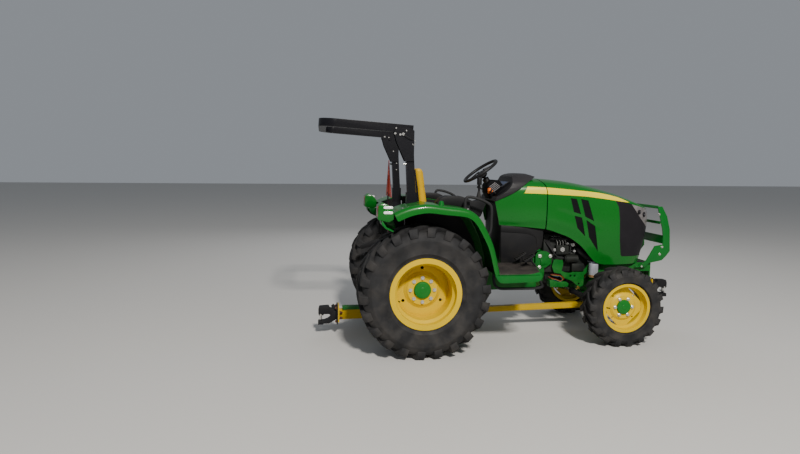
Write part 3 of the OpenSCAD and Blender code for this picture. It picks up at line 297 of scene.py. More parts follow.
def tyre_piece(axle, hand_name, centre):
    """The whole tyre as one mesh: carcass with bead ring and shoulder rib, and all its lugs."""
    radius, width, bead, flange, half, height, count = TYRE_SIZE[axle]
    tread = radius - height
    rise = tread - bead
    side = width / 2
    outline = [(0.012 + bead, half - 0.006), (flange + 0.0012, half - 0.006), (flange + 0.006, half - 0.004),
               (flange + 0.010, side * 0.90),
               *[(bead + rise * up, side * out) for up, out in TYRE_SIDE], (tread, side * 0.3)]
    profile = outline + [(r, -y) for r, y in reversed(outline)]
    shape = lathe(profile, 144)
    lugs = bmesh.new()
    for i in range(count):
        for hand, shift in ((1, 0), (-1, 0.5)):
            lug_bar(lugs, radius, width, height, count, -math.pi / 2 + (i + shift) * 2 * math.pi / count, hand)
    bmesh.ops.remove_doubles(lugs, verts=lugs.verts, dist=SAME_POINT)
    bmesh.ops.recalc_face_normals(lugs, faces=lugs.faces)
    bmesh.ops.bevel(lugs, geom=[e for e in lugs.edges if e.calc_face_angle(0) > 0.5], offset=height * LUG_ROUNDING,
                    offset_type="OFFSET", segments=2, profile=0.5, affect="EDGES", material=-1, clamp_overlap=True)
    holder = bpy.data.meshes.new("lugs")
    lugs.to_mesh(holder)
    lugs.free()
    shape.from_mesh(holder)
    bpy.data.meshes.remove(holder)
    bmesh.ops.translate(shape, vec=centre, verts=shape.verts)
    piece_from(shape, f"{axle}_tyre_tread_{hand_name}", tyre_black, f"wheel_{axle}_{hand_name}", 40,
               (f"{axle}_tyre_{hand_name}",))


tyre_black = surface("tyre_black", (0.017, 0.017, 0.018), rough=0.72, tone=0.25, tone_scale=14, grain=0.35,
                     grain_scale=420, dust=0.30, dust_top=1.6, dust_low=0.0, dust_colour=(0.13, 0.115, 0.10))
for hand_name, hand in HANDS:
    for axle, (x, y, z) in WHEEL_PLACE.items():
        tyre_piece(axle, hand_name, at(x, hand * y, z))


# Rims, hub caps and wheel bolts.
# Pressed steel rims and discs in gloss yellow, bolted to the hubs. A green cap
# covers each hub, the bolts are plated, and a rubber valve stands in the barrel.
wheel_yellow = surface("wheel_yellow", (0.58, 0.385, 0.0004), rough=0.38, tone=0.05, tone_scale=5, grain=0.03,
                       grain_scale=220, dust=0.05, dust_top=1.0)
cap_green = surface("cap_green", (0.006, 0.13, 0.014), rough=0.38, tone=0.08, grain=0.04, dust=0.05)
plated = surface("plated_steel", (0.62, 0.61, 0.58), rough=0.30, tone=0.10, tone_scale=30, grain=0.08, metallic=1.0)
dull_black = surface("dull_black", (0.018, 0.018, 0.019), rough=0.6, tone=0.15, grain=0.12)
dress(["rear_rim_left", "rear_rim_right", "front_rim_left", "front_rim_right"], wheel_yellow, 28)


def facing(place, axis):
    """A turn of Z to an axis, at a place."""
    return Matrix.Translation(place) @ Vector(axis).to_track_quat("Z", "Y").to_matrix().to_4x4()


def peg(shape, stand, low, high, depth, segments):
    """Adds a closed round bar, from one radius to another, about the middle of a stand."""
    bmesh.ops.create_cone(shape, cap_ends=True, segments=segments, radius1=low, radius2=high, depth=depth,
                          matrix=stand)


def hex_bolt(shape, place, axis, across, height, washer=0.0):
    """A hexagon head, with a round washer under it, standing on a place."""
    stand = facing(place, axis)
    peg(shape, stand @ Matrix.Translation((0, 0, height / 2 + washer)), across / 2, across / 2 * 0.96, height, 6)
    if washer:
        peg(shape, stand @ Matrix.Translation((0, 0, washer / 2)), across * 0.72, across * 0.70, washer, 20)


# radius of the bolt circle; bolts; face of the disc; cap's radius; cap's top above the face
WHEEL_TRIM = {"rear": (97, 8, 14, 69.5, 24.5), "front": (76, 6, 36, 62.5, 18.5)}
VALVE_PLACE = {"rear": (-0.20, 0.07, -0.075), "front": (-0.155, 0.055, 0.0)}
BOSS_RISE = 3
for axle, (circle, bolts, face, cap_r, cap_top) in WHEEL_TRIM.items():
    for hand_name, hand in HANDS:
        body = f"wheel_{axle}_{hand_name}"
        x, y, z = WHEEL_PLACE[axle]
        middle = at(x, hand * y, z)
        r, top, low = cap_r / 1000, (face + cap_top) / 1000, face / 1000
        shape = lathe([(0.0, top), (r * 0.30, top), (r * 0.34, top - 0.0015), (r * 0.80, top - 0.002),
                       (r * 0.93, top - 0.005), (r * 0.985, top - 0.011), (r, low + 0.0008),
                       (r - 0.003, low + 0.0008), (0, low + 0.0008)], 64, hand)
        bmesh.ops.translate(shape, vec=middle, verts=shape.verts)
        piece_from(shape, f"{axle}_hub_cap_{hand_name}", cap_green, body, 25)
        shape = bmesh.new()
        for i in range(bolts):
            angle = 2 * math.pi * i / bolts
            place = middle + Vector((math.cos(angle) * circle / 1000, hand * (face + BOSS_RISE) / 1000,
                                     math.sin(angle) * circle / 1000))
            hex_bolt(shape, place, (0, hand, 0), 0.021, 0.011, 0.003)
        piece_from(shape, f"{axle}_wheel_bolts_{hand_name}", plated, body, 30)
        shape = bmesh.new()
        x, y, z = VALVE_PLACE[axle]
        stem = middle + Vector((x, hand * y, z))
        lean = Vector((0.25, hand, 0.1)).normalized()
        peg(shape, facing(stem, lean), 0.0055, 0.0045, 0.040, 16)
        peg(shape, facing(stem + lean * 0.024, lean), 0.0055, 0.005, 0.012, 12)
        piece_from(shape, f"{axle}_valve_{hand_name}", dull_black, body, 30)


# Axles and steering.
# Cast housings in the body's green carry both axles. The steering cylinder is
# black and its rod bare plated steel, low behind the front axle.
casting_green = surface("casting_green", (0.003, 0.098, 0.010), rough=0.48, tone=0.16, tone_scale=9, grain=0.30,
                        grain_scale=160, dust=0.14, dust_top=0.75)
dress(["rear_axle_housing", "front_axle", "knuckle_left", "knuckle_right", "transmission_case"], casting_green, 30, 5)
dress(["frame_rails", "drawbar"], casting_green, 30, 2)
dress(["steering_cylinder"], dull_black, 30, 2)
dress(["steering_rod"], plated, 30)


# Engine.
# The three-cylinder diesel sits between the frame plates, and only its sides show
# below the hood's arch. On its right side stand the injection pump with plated
# unions, the hoses, the starter and a bright spin-on filter on its own bracket.
engine_black = surface("engine_black", (0.010, 0.012, 0.011), rough=0.55, tone=0.3, tone_scale=12, grain=0.35,
                       grain_scale=150, dust=0.1, dust_top=1.0)
cast_steel = surface("bare_fittings", (0.50, 0.50, 0.49), rough=0.38, tone=0.15, tone_scale=18, grain=0.15,
                     metallic=0.85)
bronze = surface("bronze_band", (0.42, 0.25, 0.11), rough=0.35, tone=0.12, tone_scale=20, grain=0.1, metallic=0.8)
dress(["engine", "radiator"], engine_black, 30, 4)


ROUNDED_ABOVE = 25  # degrees that an edge turns


def round_off(shape, verts, edge, rounds):
    """Rounds the sharp edges between some points of a shape, by so many millimetres."""
    if edge:
        near = dict.fromkeys(e for v in verts for e in v.link_edges)
        edges = [e for e in near if e.calc_face_angle(0) > math.radians(ROUNDED_ABOVE)]
        bmesh.ops.bevel(shape, geom=edges, offset=edge / 1000, offset_type="OFFSET", segments=rounds,
                        profile=0.5, affect="EDGES", material=-1, clamp_overlap=True)


def box(shape, low, high, edge=0.0, rounds=2):
    """Adds a block between two corners, in millimetres."""
    low, high = at(*low), at(*high)
    made = bmesh.ops.create_cube(shape, size=1, matrix=Matrix.Translation((low + high) / 2)
                                 @ Matrix.Diagonal((*(high - low), 1)))
    round_off(shape, made["verts"], edge, rounds)


def pushed(shape, corners, move, edge, rounds=2):
    """Adds a plate: a flat outline pushed along a move."""
    base = [shape.verts.new(c) for c in corners]
    out = bmesh.ops.extrude_face_region(shape, geom=[shape.faces.new(base)])["geom"]
    fresh = [g for g in out if isinstance(g, bmesh.types.BMVert)]
    bmesh.ops.translate(shape, vec=move, verts=fresh)
    faces = list(dict.fromkeys(f for v in base + fresh for f in v.link_faces))
    bmesh.ops.recalc_face_normals(shape, faces=faces)
    round_off(shape, base + fresh, edge, rounds)


def slab(shape, outline, y0, y1, edge=0.0, rounds=2):
    """Adds a plate with a side outline of (x, z), from y0 to y1."""
    pushed(shape, [at(x, y0, z) for x, z in outline], (0, (y1 - y0) / 1000, 0), edge, rounds)


def across(shape, outline, x0, x1, edge=0.0, rounds=2):
    """Adds a plate with a front outline of (y, z), from x0 to x1."""
    pushed(shape, [at(x0, y, z) for y, z in outline], ((x1 - x0) / 1000, 0, 0), edge, rounds)


def rod(shape, a, b, r, r_end=None, sides=24):
    """Adds a round bar between two places, in millimetres."""
    a, b = at(*a), at(*b)
    peg(shape, facing((a + b) / 2, b - a), r / 1000, (r_end or r) / 1000, (b - a).length, sides)


def both(shape):
    """Adds the mirror image on the tractor's other side."""
    out = bmesh.ops.duplicate(shape, geom=shape.verts[:] + shape.edges[:] + shape.faces[:])["geom"]
    for vert in (g for g in out if isinstance(g, bmesh.types.BMVert)):
        vert.co.y = -vert.co.y
    bmesh.ops.reverse_faces(shape, faces=[g for g in out if isinstance(g, bmesh.types.BMFace)])
    return shape


def eased(points, steps):
    """A rounded line through points, as a list of pairs or places."""
    line = []
    for i in range(len(points) - 1):
        a, b, c, d = (points[j] for j in (max(i - 1, 0), i, i + 1, min(i + 2, len(points) - 1)))
        for k in range(steps):
            t = k / steps
            line.append(tuple(0.5 * (2 * q + (r - p) * t + (2 * p - 5 * q + 4 * r - s) * t * t
                                     + (3 * q - p - 3 * r + s) * t ** 3)
                              for p, q, r, s in zip(a, b, c, d)))
    return line + [tuple(points[-1])]


def hose(shape, points, r, steps=6, rounds=3):
    """Adds a round tube along a rounded line through points, in millimetres."""
    line = bpy.data.curves.new("line", "CURVE")
    line.dimensions = "3D"
    line.bevel_depth = r / 1000
    line.bevel_resolution = rounds
    line.use_fill_caps = True
    path = [at(*p) for p in (eased(points, steps) if steps > 1 else points)]
    spline = line.splines.new("POLY")
    spline.points.add(len(path) - 1)
    for point, place in zip(spline.points, path):
        point.co = (*place, 1)
    holder = bpy.data.objects.new("line", line)
    bpy.context.scene.collection.objects.link(holder)
    made = bpy.data.meshes.new_from_object(holder.evaluated_get(bpy.context.evaluated_depsgraph_get()))
    shape.from_mesh(made)
    bpy.data.objects.remove(holder)
    bpy.data.curves.remove(line)
    bpy.data.meshes.remove(made)


ENGINE_SIDE = -150
shape = bmesh.new()
box(shape, (1292, -194, 722), (1412, ENGINE_SIDE, 806), 6, 3)
for x in (1304, 1333, 1362, 1391):
    box(shape, (x, -197, 730), (x + 12, -190, 798), 2)
rod(shape, (1385, -184, 682), (1495, -184, 682), 36, sides=40)
rod(shape, (1375, -184, 682), (1386, -184, 682), 27, sides=32)
rod(shape, (1400, -165, 726), (1478, -165, 726), 15, sides=28)
box(shape, (1445, -200, 570), (1560, ENGINE_SIDE, 640), 6)
piece_from(shape, "injection_pump_and_starter", engine_black, "chassis", 30, ("engine_fittings",))
shape = bmesh.new()
# place along the tractor; height; radius; how far it stands out
UNIONS = ((1284, 765, 15, 38), (1350, 770, 24, 54), (1399, 823, 11, 46), (1445, 812, 19, 56), (1464, 754, 14, 50))
for x, z, r, reach in UNIONS:
    rod(shape, (x, ENGINE_SIDE, z), (x, ENGINE_SIDE - reach + 14, z), r * 0.8, sides=24)
    hex_bolt(shape, at(x, ENGINE_SIDE - reach + 16, z), (0, -1, 0), r * 0.0019, 0.011)
    rod(shape, (x, ENGINE_SIDE - reach + 6, z), (x, ENGINE_SIDE - reach, z), r * 0.55, r * 0.35, 20)
box(shape, (1420, -190, 806), (1450, ENGINE_SIDE, 818), 2)
for k in range(4):
    hose(shape, [(1310 + 27 * k, -172, 806), (1306 + 27 * k, -176, 838), (1288 + 24 * k, -168, 868),
                 (1262 + 22 * k, ENGINE_SIDE, 888 - 2 * k)], 3.2, 4, 2)
piece_from(shape, "pump_unions", cast_steel, "chassis", 30, ("engine_fittings",))
shape = bmesh.new()
hose(shape, [(1296, -190, 738), (1416, -190, 738), (1426, -190, 746), (1426, -190, 812)], 6, 3)
hose(shape, [(1245, -180, 868), (1392, -180, 862)], 12, 1)
for x, z in ((1245, 868), (1392, 862)):
    rod(shape, (x, -178, z), (x, ENGINE_SIDE, z), 9)
for k in range(5):
    hose(shape, [(1196 + 9 * k, -154, 846 + 5 * k), (1236 + 6 * k, -170, 792 - 3 * k),
                 (1290 + 4 * k, -196, 716 - 4 * k), (1352 + 5 * k, -190, 702 - 3 * k)], 3.6, 4, 2)
piece_from(shape, "pump_pipes", dull_black, "chassis", 30, ("engine_fittings",))
shape = bmesh.new()
hose(shape, [(1500, ENGINE_SIDE, 768), (1502, -186, 765), (1530, -196, 738), (1598, -192, 692), (1640, -168, 694),
             (1650, ENGINE_SIDE, 702)], 22, 6, 5)
for x, y, z in ((1508, -190, 758), (1612, -186, 690)):
    rod(shape, (x - 5, y, z + 4), (x + 5, y, z - 4), 24.5, sides=32)
piece_from(shape, "coolant_hose", dull_black, "chassis", 30, ("engine_fittings",))
FILTER = at(1634, -230, 520)
CAN = [(0, 0.125), (0.036, 0.125), (0.0405, 0.120), (0.0415, 0.112), (0.0415, 0.030), (0.040, 0.027), (0.040, 0.002),
       (0.037, 0), (0, 0)]
shape = lathe([(r, -h) for r, h in CAN], 48)
bmesh.ops.transform(shape, matrix=Matrix.Translation(FILTER) @ Matrix.Rotation(math.radians(-90), 4, "X"),
                    verts=shape.verts)
bmesh.ops.recalc_face_normals(shape, faces=shape.faces)
box(shape, (1610, -230, 645), (1658, ENGINE_SIDE, 661), 3)
filter_silver = surface("filter_silver", (0.36, 0.38, 0.42), rough=0.42, tone=0.12, tone_scale=20, grain=0.08,
                        metallic=0.35)
piece_from(shape, "fuel_filter", filter_silver, "chassis", 32, ("engine_fittings",))
shape = bmesh.new()
rod(shape, (1634, -230, 523), (1634, -230, 544), 41.9, sides=48)
piece_from(shape, "filter_band", bronze, "chassis", 32)
BLOCK = [(1242, 489), (1280, 488), (1322, 473), (1404, 471), (1426, 456), (1417, 424), (1252, 424)]
shape = bmesh.new()
slab(shape, BLOCK, -190, -110.3, 4, 3)
for x in (1286, 1322, 1368):
    box(shape, (x, -192, 428), (x + 7, -186, 468), 2)
piece_from(shape, "hydraulic_block", casting_green, "chassis", 30, ("engine_fittings",))
WIRES = (("red_wire", (0.16, 0.012, 0.008), 0), ("yellow_wire", (0.22, 0.15, 0.02), 11),
         ("blue_wire", (0.015, 0.04, 0.09), 22))
for name, colour, shift in WIRES:
    shape = bmesh.new()
    hose(shape, [(1254 + shift, -176, 540 - shift / 2), (1300 + shift, -186, 541 - shift), (1352 - shift, -184, 526),
                 (1382 - shift, -180, 500), (1352, -178, 480 - shift / 3), (1310 - shift, -182, 494),
                 (1268 + shift, -176, 506 - shift), (1236, -165, 520)], 2.6, 5, 2)
    piece_from(shape, name, surface(name, colour, rough=0.5, tone=0.1, grain=0.1), "chassis", 30)


# Hood.
# One moulded green shell from the cowl to the nose, cut for four side slots, the
# screen and the lamps, and arched up over the open engine.
# share of the half width; set back at the nose; share of the way up to the shoulder; drop below the crown
HOOD = ((0.955, 78, 0, 0), (0.985, 40, 0.25, 0), (1, 8, 0.55, 0), (1, 0, 0.8, 0), (0.985, 5, 0.94, 0),
        (0.955, 14, 1, 0), (0.86, 34, 0, 34), (0.62, 50, 0, 12), (0.32, 58, 0, 3), (0, 60, 0, 0))
HOOD_Q = (0, 0.2, 0.4, 0.58, 0.7, 0.79, 0.86, 0.91, 0.95, 0.98, 1)
CROWN = ((900, 1404), (1100, 1402), (1241, 1396), (1433, 1376), (1615, 1338), (1763, 1299), (1911, 1256),
         (2024, 1214), (2146, 1168), (2240, 1112))
HOOD_HALF, HOOD_REAR, HOOD_NOSE, HOOD_LOW, SHOULDER_X, NOSE_ROUND = 290, 1157, 2224, 640, 1241, 7.7
SHOULDER_REAR, SHOULDER_FRONT = 66, 18  # the shoulder's depth below the crown
SEAM = eased(((1108, 1440), (1119, 1386), (1139, 1354), (1152, 1310), (1157, 1254), (1157, 1000), (1157, 600)), 4)
crown_line = eased(CROWN, 4)


def crown(x):
    """The height of the hood's middle line."""
    for (x0, z0), (x1, z1) in zip(crown_line, crown_line[1:]):
        if x <= x1:
            return mixed(z0, z1, max(x - x0, 0) / (x1 - x0))
    return crown_line[-1][1]


def shoulder(x):
    """The height where the hood's side turns into its top."""
    return crown(x) - mixed(SHOULDER_REAR, SHOULDER_FRONT, (x - SHOULDER_X) / (HOOD_NOSE - SHOULDER_X))


def hood_point(row, q):
    """A point of the hood's cage on one of its long rows, at a share of the way to the nose."""
    share, setback, up, drop = row
    x = HOOD_REAR + (HOOD_NOSE - setback - HOOD_REAR) * q
    y = HOOD_HALF * share * math.sqrt(max(1 - max(q, 0) ** NOSE_ROUND, 0))
    z = crown(x) - drop if drop or not share else mixed(HOOD_LOW, shoulder(x), up)
    return x, y, z


CAGE_GAP = 0.0005


def shell_cage(stations):
    """A skin pushed forward station by station, each a row of points from side to side."""
    shape = bmesh.new()
    row = [shape.verts.new(at(*p)) for p in stations[0]]
    edges = [shape.edges.new(pair) for pair in zip(row, row[1:])]
    for station in stations[1:]:
        out = bmesh.ops.extrude_edge_only(shape, edges=edges)["geom"]
        fresh = [g for g in out if isinstance(g, bmesh.types.BMEdge)]
        for vert, p in zip(chain(fresh), station):
            vert.co = at(*p)
        edges = fresh
    bmesh.ops.remove_doubles(shape, verts=shape.verts, dist=CAGE_GAP)
    bmesh.ops.recalc_face_normals(shape, faces=shape.faces)
    return shape


def chain(edges):
    """The points of a row of edges, in order from the right side to the left."""
    links = {}
    for edge in edges:
        for vert in edge.verts:
            links.setdefault(vert, []).append(edge)
    end = min((v for v, e in links.items() if len(e) == 1), key=lambda v: v.co.y)
    order, used = [end], set()
    while True:
        following = [e for e in links[order[-1]] if e not in used]
        if not following:
            return order
        used.add(following[0])
        order.append(following[0].other_vert(order[-1]))


def settle(piece):
    """Turns what the modifiers make into the piece's own mesh."""
    graph = bpy.context.evaluated_depsgraph_get()
    made = bpy.data.meshes.new_from_object(piece.evaluated_get(graph))
    piece.modifiers.clear()
    piece.data = made
    return piece


def prism(outline, y0, y1):
    """A side outline pushed across from y0 to y1, to cut with."""
    shape = bmesh.new()
    slab(shape, outline, y0, y1)
    return loose_piece(shape, "cutter")


def cut(piece, outlines, how, y0=-400, y1=400):
    """Takes side outlines out of a piece, or keeps only what lies inside them."""
    for outline in outlines:
        tool = prism(outline, y0, y1)
        carve = piece.modifiers.new(how, "BOOLEAN")
        carve.operation = how
        carve.object = tool
        carve.solver = "EXACT"
        settle(piece)
        bpy.data.objects.remove(tool)
    return piece


ARCH = eased(((749, 996), (950, 984), (1152, 964), (1270, 927), (1379, 885), (1488, 809), (1565, 726), (1633, 662),
              (1713, 640)), 3)
EDGE_LINE = eased(ARCH, 4)
PRESS_DEPTH, PRESS_WIDTH, PRESS_WIDTH_REAR = 11, 78, 34
WIDENS_FROM, WIDENS_TO = 900, 1190
CREASE_DEPTH, CREASE_WIDTH, CREASE_FADE = 3.5, 70, 60
PRESSED_BELOW, PRESSED_OUTSIDE = 1230, 0.15
CREASE = ((1225, 1146), (1305, 1131), (1400, 1099), (1487, 1068), (1603, 1018), (1690, 985))


def pressed_in(x, z):
    """How far, in millimetres, the side steps in along its lower edge and below the crease."""
    edge = min(math.hypot(x - a, z - b) for a, b in EDGE_LINE)
    share = min(max(x - WIDENS_FROM, 0) / (WIDENS_TO - WIDENS_FROM), 1)
    wide = mixed(PRESS_WIDTH_REAR, PRESS_WIDTH, share)
    step = PRESS_DEPTH * max(1 - edge / wide, 0) ** 0.7
    for (x0, z0), (x1, z1) in zip(CREASE, CREASE[1:]):
        if x0 <= x < x1:
            below = mixed(z0, z1, (x - x0) / (x1 - x0)) - z
            if below > 0:
                ends = min((x - CREASE[0][0]) / CREASE_FADE, 1, (CREASE[-1][0] - x) / CREASE_FADE)
                step = max(step, CREASE_DEPTH * max(1 - below / CREASE_WIDTH, 0) * ends)
    return step


def skin(stations, name, wall, offset=0.0, levels=3):
    """A rounded shell of an even wall, moved out or in from the cage by an offset, with its pressed steps."""
    piece = loose_piece(shell_cage(stations), name)
    rounder = piece.modifiers.new("rounded", "SUBSURF")
    rounder.levels = rounder.render_levels = levels
    settle(piece)
    graph = bmesh.new()
    graph.from_mesh(piece.data)
    graph.normal_update()
    for vert in graph.verts:
        x, z = vert.co.x * 1000 + REAR_AXLE, vert.co.z * 1000
        vert.co += vert.normal * offset
        if z < PRESSED_BELOW and abs(vert.co.y) > PRESSED_OUTSIDE:
            vert.co.y -= math.copysign(pressed_in(x, z) / 1000, vert.co.y)
    graph.to_mesh(piece.data)
    graph.free()
    thick = piece.modifiers.new("wall", "SOLIDIFY")
    thick.thickness = wall
    thick.offset = -1
    thick.use_even_offset = True
    return settle(piece)


def full_row(side):
    """A half row from the low edge to the crown, with its mirror after it."""
    return [(x, -y, z) for x, y, z in side] + [(x, y, z) for x, y, z in reversed(side[:-1])]


hood_rows = [full_row([hood_point(row, q) for row in HOOD]) for q in (-0.055, *HOOD_Q)]
SCREEN = ((1784, 1223), (1820, 1159), (1836, 1043), (1846, 863), (1866, 728), (1880, 712), (2400, 704), (2400, 1075))
LAMPS = ((1950, 1182), (2400, 1074), (2400, 960), (2140, 978), (2060, 1048), (2000, 1120))
SLOTS = (((1366, 1236), (1422, 1229), (1467, 1095), (1399, 1115)),
         ((1461, 1229), (1529, 1216), (1591, 1034), (1507, 1074)),
         ((1408, 1082), (1479, 1065), (1515, 898), (1438, 974)),
         ((1520, 1044), (1604, 990), (1644, 760), (1551, 892)))
body_green = surface("body_green", (0.003, 0.104, 0.009), rough=0.30, tone=0.05, tone_scale=3, grain=0.015,
                     grain_scale=90, coat=0.18, dust=0.03, dust_top=0.9, rough_spread=0.04)
screen_black = surface("screen_black", (0.009, 0.008, 0.010), rough=0.60, tone=0.2, tone_scale=7, grain=0.2,
                       grain_scale=260)
shell = skin(hood_rows, "hood_panel", 0.007)
BEHIND_SEAM = [(1000, 600), (1000, 1440), *SEAM]
UNDER_ARCH = [(1060, 600), (1060, 1000), *ARCH]
cut(shell, [BEHIND_SEAM, UNDER_ARCH, SCREEN, *SLOTS], "DIFFERENCE")
finish_piece(shell, body_green, "hood", 30, ("hood_shell",))
screen = skin(hood_rows, "hood_screen", 0.005, offset=-0.003)
cut(screen, [SCREEN], "INTERSECT")
cut(screen, [LAMPS], "DIFFERENCE")
finish_piece(screen, screen_black, "hood", 30, ("hood_grille",))
BEHIND_SLOTS = ((1350, 1245), (1540, 1225), (1660, 760), (1640, 740), (1420, 960))
slot_mesh = skin(hood_rows, "slot_screens", 0.003, offset=-0.0045)
cut(slot_mesh, [BEHIND_SLOTS], "INTERSECT")
slot_black = surface("slot_black", (0.004, 0.004, 0.005), rough=0.7, tone=0.2, tone_scale=12, grain=0.3,
                     grain_scale=420, shine=0.1)
finish_piece(slot_mesh, slot_black, "hood")

# The stripe is a thin sheet laid on both sides of the hood and the cowl. It
# narrows to a point over the lamps.
STRIPE_TOP = ((982, 1334), (1146, 1328), (1366, 1310), (1594, 1288), (1709, 1269), (1806, 1246), (1885, 1217),
              (1928, 1197))
STRIPE_LOW = ((1845, 1206), (1748, 1221), (1594, 1241), (1517, 1250), (1366, 1260), (1188, 1269), (1137, 1272),
              (952, 1277))
STRIPE = [*eased(STRIPE_TOP, 3), *eased(STRIPE_LOW, 3)]
stripe_yellow = surface("stripe_yellow", (0.72, 0.57, 0.03), rough=0.34, tone=0.04, grain=0.02)
stripe = skin(hood_rows, "hood_stripe", 0.0012, offset=0.0008)
cut(stripe, [STRIPE], "INTERSECT")
cut(stripe, [[(900, 600), (900, 1440), *SEAM]], "DIFFERENCE")
finish_piece(stripe, stripe_yellow, "hood")

# Two flat arms under the shell's rear edge swing on the pins in the cowl.
PIN_X, PIN_Z = 1072, 1369
ARM = ((0, -14), (12, 8), (64, -56), (92, -40), (104, 20), (150, 18), (150, -8), (112, -52), (72, -80))
shape = bmesh.new()
slab(shape, [(PIN_X + x, PIN_Z + z) for x, z in ARM], 120, 130, 2)
rod(shape, (PIN_X, 120, PIN_Z), (PIN_X, 130, PIN_Z), 15, sides=32)
piece_from(both(shape), "hood_hinge_arms", dull_black, "hood", 32)


# Headlights.
# Moulded lenses follow the nose on both sides of a black bridge. Each holds two
# black bowls with a small bright reflector and bulb.
# Painted reflection: the lenses are opaque mottled grey, standing for the sky's reflection on clear glass.
lens_reflection_grey = surface("lens_reflection_grey", (0.13, 0.12, 0.12), rough=0.18, tone=0.35, tone_scale=22, grain=0.05, shine=0.5)
lamp_chrome = surface("lamp_chrome", (0.75, 0.76, 0.78), rough=0.12, tone=0.08, tone_scale=25, grain=0.05,
                      metallic=1.0)
LAMP_AIM = (0.62, 0.78, 0.04)
BOWLS = ((2036, 255, 1112, 20), (2100, 221, 1086, 24))
BETWEEN_LAMPS = ((1900, 600), (2400, 600), (2400, 1300), (1900, 1300))
glass = skin(hood_rows, "lamp_lenses", 0.003, offset=-0.001)
cut(glass, [LAMPS], "INTERSECT")
cut(glass, [BETWEEN_LAMPS], "DIFFERENCE", -72, 72)
finish_piece(glass, lens_reflection_grey, "hood", 30, ("headlights",))
bridge = skin(hood_rows, "nose_bridge", 0.005, offset=-0.002)
cut(bridge, [LAMPS], "INTERSECT")
cut(bridge, [BETWEEN_LAMPS], "INTERSECT", -73, 73)
finish_piece(bridge, screen_black, "hood", 30, ("headlights",))
shape = bmesh.new()
bulbs = bmesh.new()
for x, y, z, r in BOWLS:
    for target, depth, radius in ((shape, 0.012, r), (bulbs, 0.015, r * 0.30)):
        peg(target, facing(at(x, y, z), LAMP_AIM), radius / 1000, radius * 0.86 / 1000, depth, 28)
piece_from(both(shape), "lamp_bowls", screen_black, "hood", 32)
piece_from(both(bulbs), "lamp_bulbs", lamp_chrome, "hood", 32)


# Cowl.
# A fixed green shell carries the hood's lines back to the dash. Two posts inside
# it stand on the bell housing and hold the pins that the hood swings on.
# place along the hood's line; share of the hood's width
COWL_STATIONS = ((690, 0.80), (860, 0.88), (1000, 0.94), (1149, 1.0))
COWL_FLOOR = 900
COWL_REAR = eased(((1084, 1440), (1074, 1414), (991, 1366), (860, 1274), (701, 1200)), 4)


def cowl_point(row, x, narrowing):
    """A point of the cowl's cage, which carries the hood's rows on to the rear."""
    share, _, up, drop = row
    z = crown(x) - drop if drop or not share else mixed(COWL_FLOOR, shoulder(x), up)
    return x, HOOD_HALF * narrowing * share, z


COWL_SIDE = [(745, 997), (1000, 979), (1152, 964), (1300, 915), (1300, 1500), (1090, 1500), *COWL_REAR]
SEAM_GAP = 8
AHEAD_OF_SEAM = [*[(x - SEAM_GAP, z) for x, z in SEAM], (1300, 600), (1300, 1440)]
cowl_rows = [full_row([cowl_point(row, x, w) for row in HOOD]) for x, w in COWL_STATIONS]
cowl = skin(cowl_rows, "cowl_panel", 0.007)
cut(cowl, [COWL_SIDE], "INTERSECT")
cut(cowl, [AHEAD_OF_SEAM], "DIFFERENCE")
finish_piece(cowl, body_green, "chassis", 30, ("cowl",))
shape = bmesh.new()
box(shape, (1062, 100, 690.3), (1082, 116, 1379), 3)
box(shape, (1062, 0, 1180), (1082, 110, 1200), 2)
box(shape, (1062, 0, 984), (1068, 262, 1030), 2)
rod(shape, (PIN_X, 100, PIN_Z), (PIN_X, 136, PIN_Z), 8)
piece_from(both(shape), "hood_hinge_posts", dull_black, "chassis", 30, ("cowl",))
cowl_stripe = skin(cowl_rows, "cowl_stripe", 0.0012, offset=0.0008)
cut(cowl_stripe, [STRIPE], "INTERSECT")
cut(cowl_stripe, [AHEAD_OF_SEAM], "DIFFERENCE")
finish_piece(cowl_stripe, stripe_yellow, "chassis")


# Side panels.
# Grained black plastic closes the space between the cowl and the footboards. A
# raised rib runs over each panel and down its front edge.
panel_black = surface("panel_black", (0.008, 0.008, 0.009), rough=0.50, tone=0.15, tone_scale=6, grain=0.30,
                      grain_scale=520, dust=0.10, dust_top=1.0)
PANEL = [(756, 996), (1000, 978.5), (1149, 963.5), (1146, 872), (1134, 793), (1086, 761), (1060, 706), (1062, 664),
         (764, 664)]
RIB = [(760, 990), (1000, 974), (1142, 959), (1139, 872), (1128, 800), (1104, 782),
       *eased(((1092, 800), (1084, 868), (1046, 906), (960, 924), (760, 936)), 4)]
shape = bmesh.new()
slab(shape, PANEL, 226, 238, 3)
slab(shape, RIB, 236, 242, 2.5)
both(shape)
box(shape, (756, -226, 690.3), (764, 226, 1180), 2)
piece_from(shape, "side_panel_mouldings", panel_black, "chassis", 30, ("side_panels",))


# Dash.
# A black moulded shroud stands over the cowl's rear edge. Its visor shades a
# tilted display, and a louvred cover wraps the steering column below it.
RIM = [(703, 1202), (860, 1276), (991, 1368), (1078, 1418),
       *eased(((1010, 1444), (950, 1447), (900, 1438), (868, 1419), (862, 1394), (846, 1348), (806, 1300),
               (760, 1266), (712, 1238)), 3)]
CORE = [(716, 1206), (722, 1252), (752, 1292), (800, 1330), (852, 1366), (905, 1400), (960, 1410), (960, 1330),
        (860, 1277)]
FRONT = ((-228, 1180), (-231, 1200), (-250, 1274), (-248, 1320), (-229, 1366), (-188, 1404), (-150, 1430),
         (-95, 1446), (95, 1446), (150, 1430), (188, 1404), (229, 1366), (248, 1320), (250, 1274), (231, 1200),
         (228, 1180))


def arched(outline, name, half_share=1.0):
    """A side outline kept inside the shroud's arch as seen from the front."""
    shape = bmesh.new()
    across(shape, [(y * half_share, z) for y, z in FRONT], 600, 1200)
    piece = loose_piece(shape, name)
    return cut(piece, [outline], "INTERSECT")


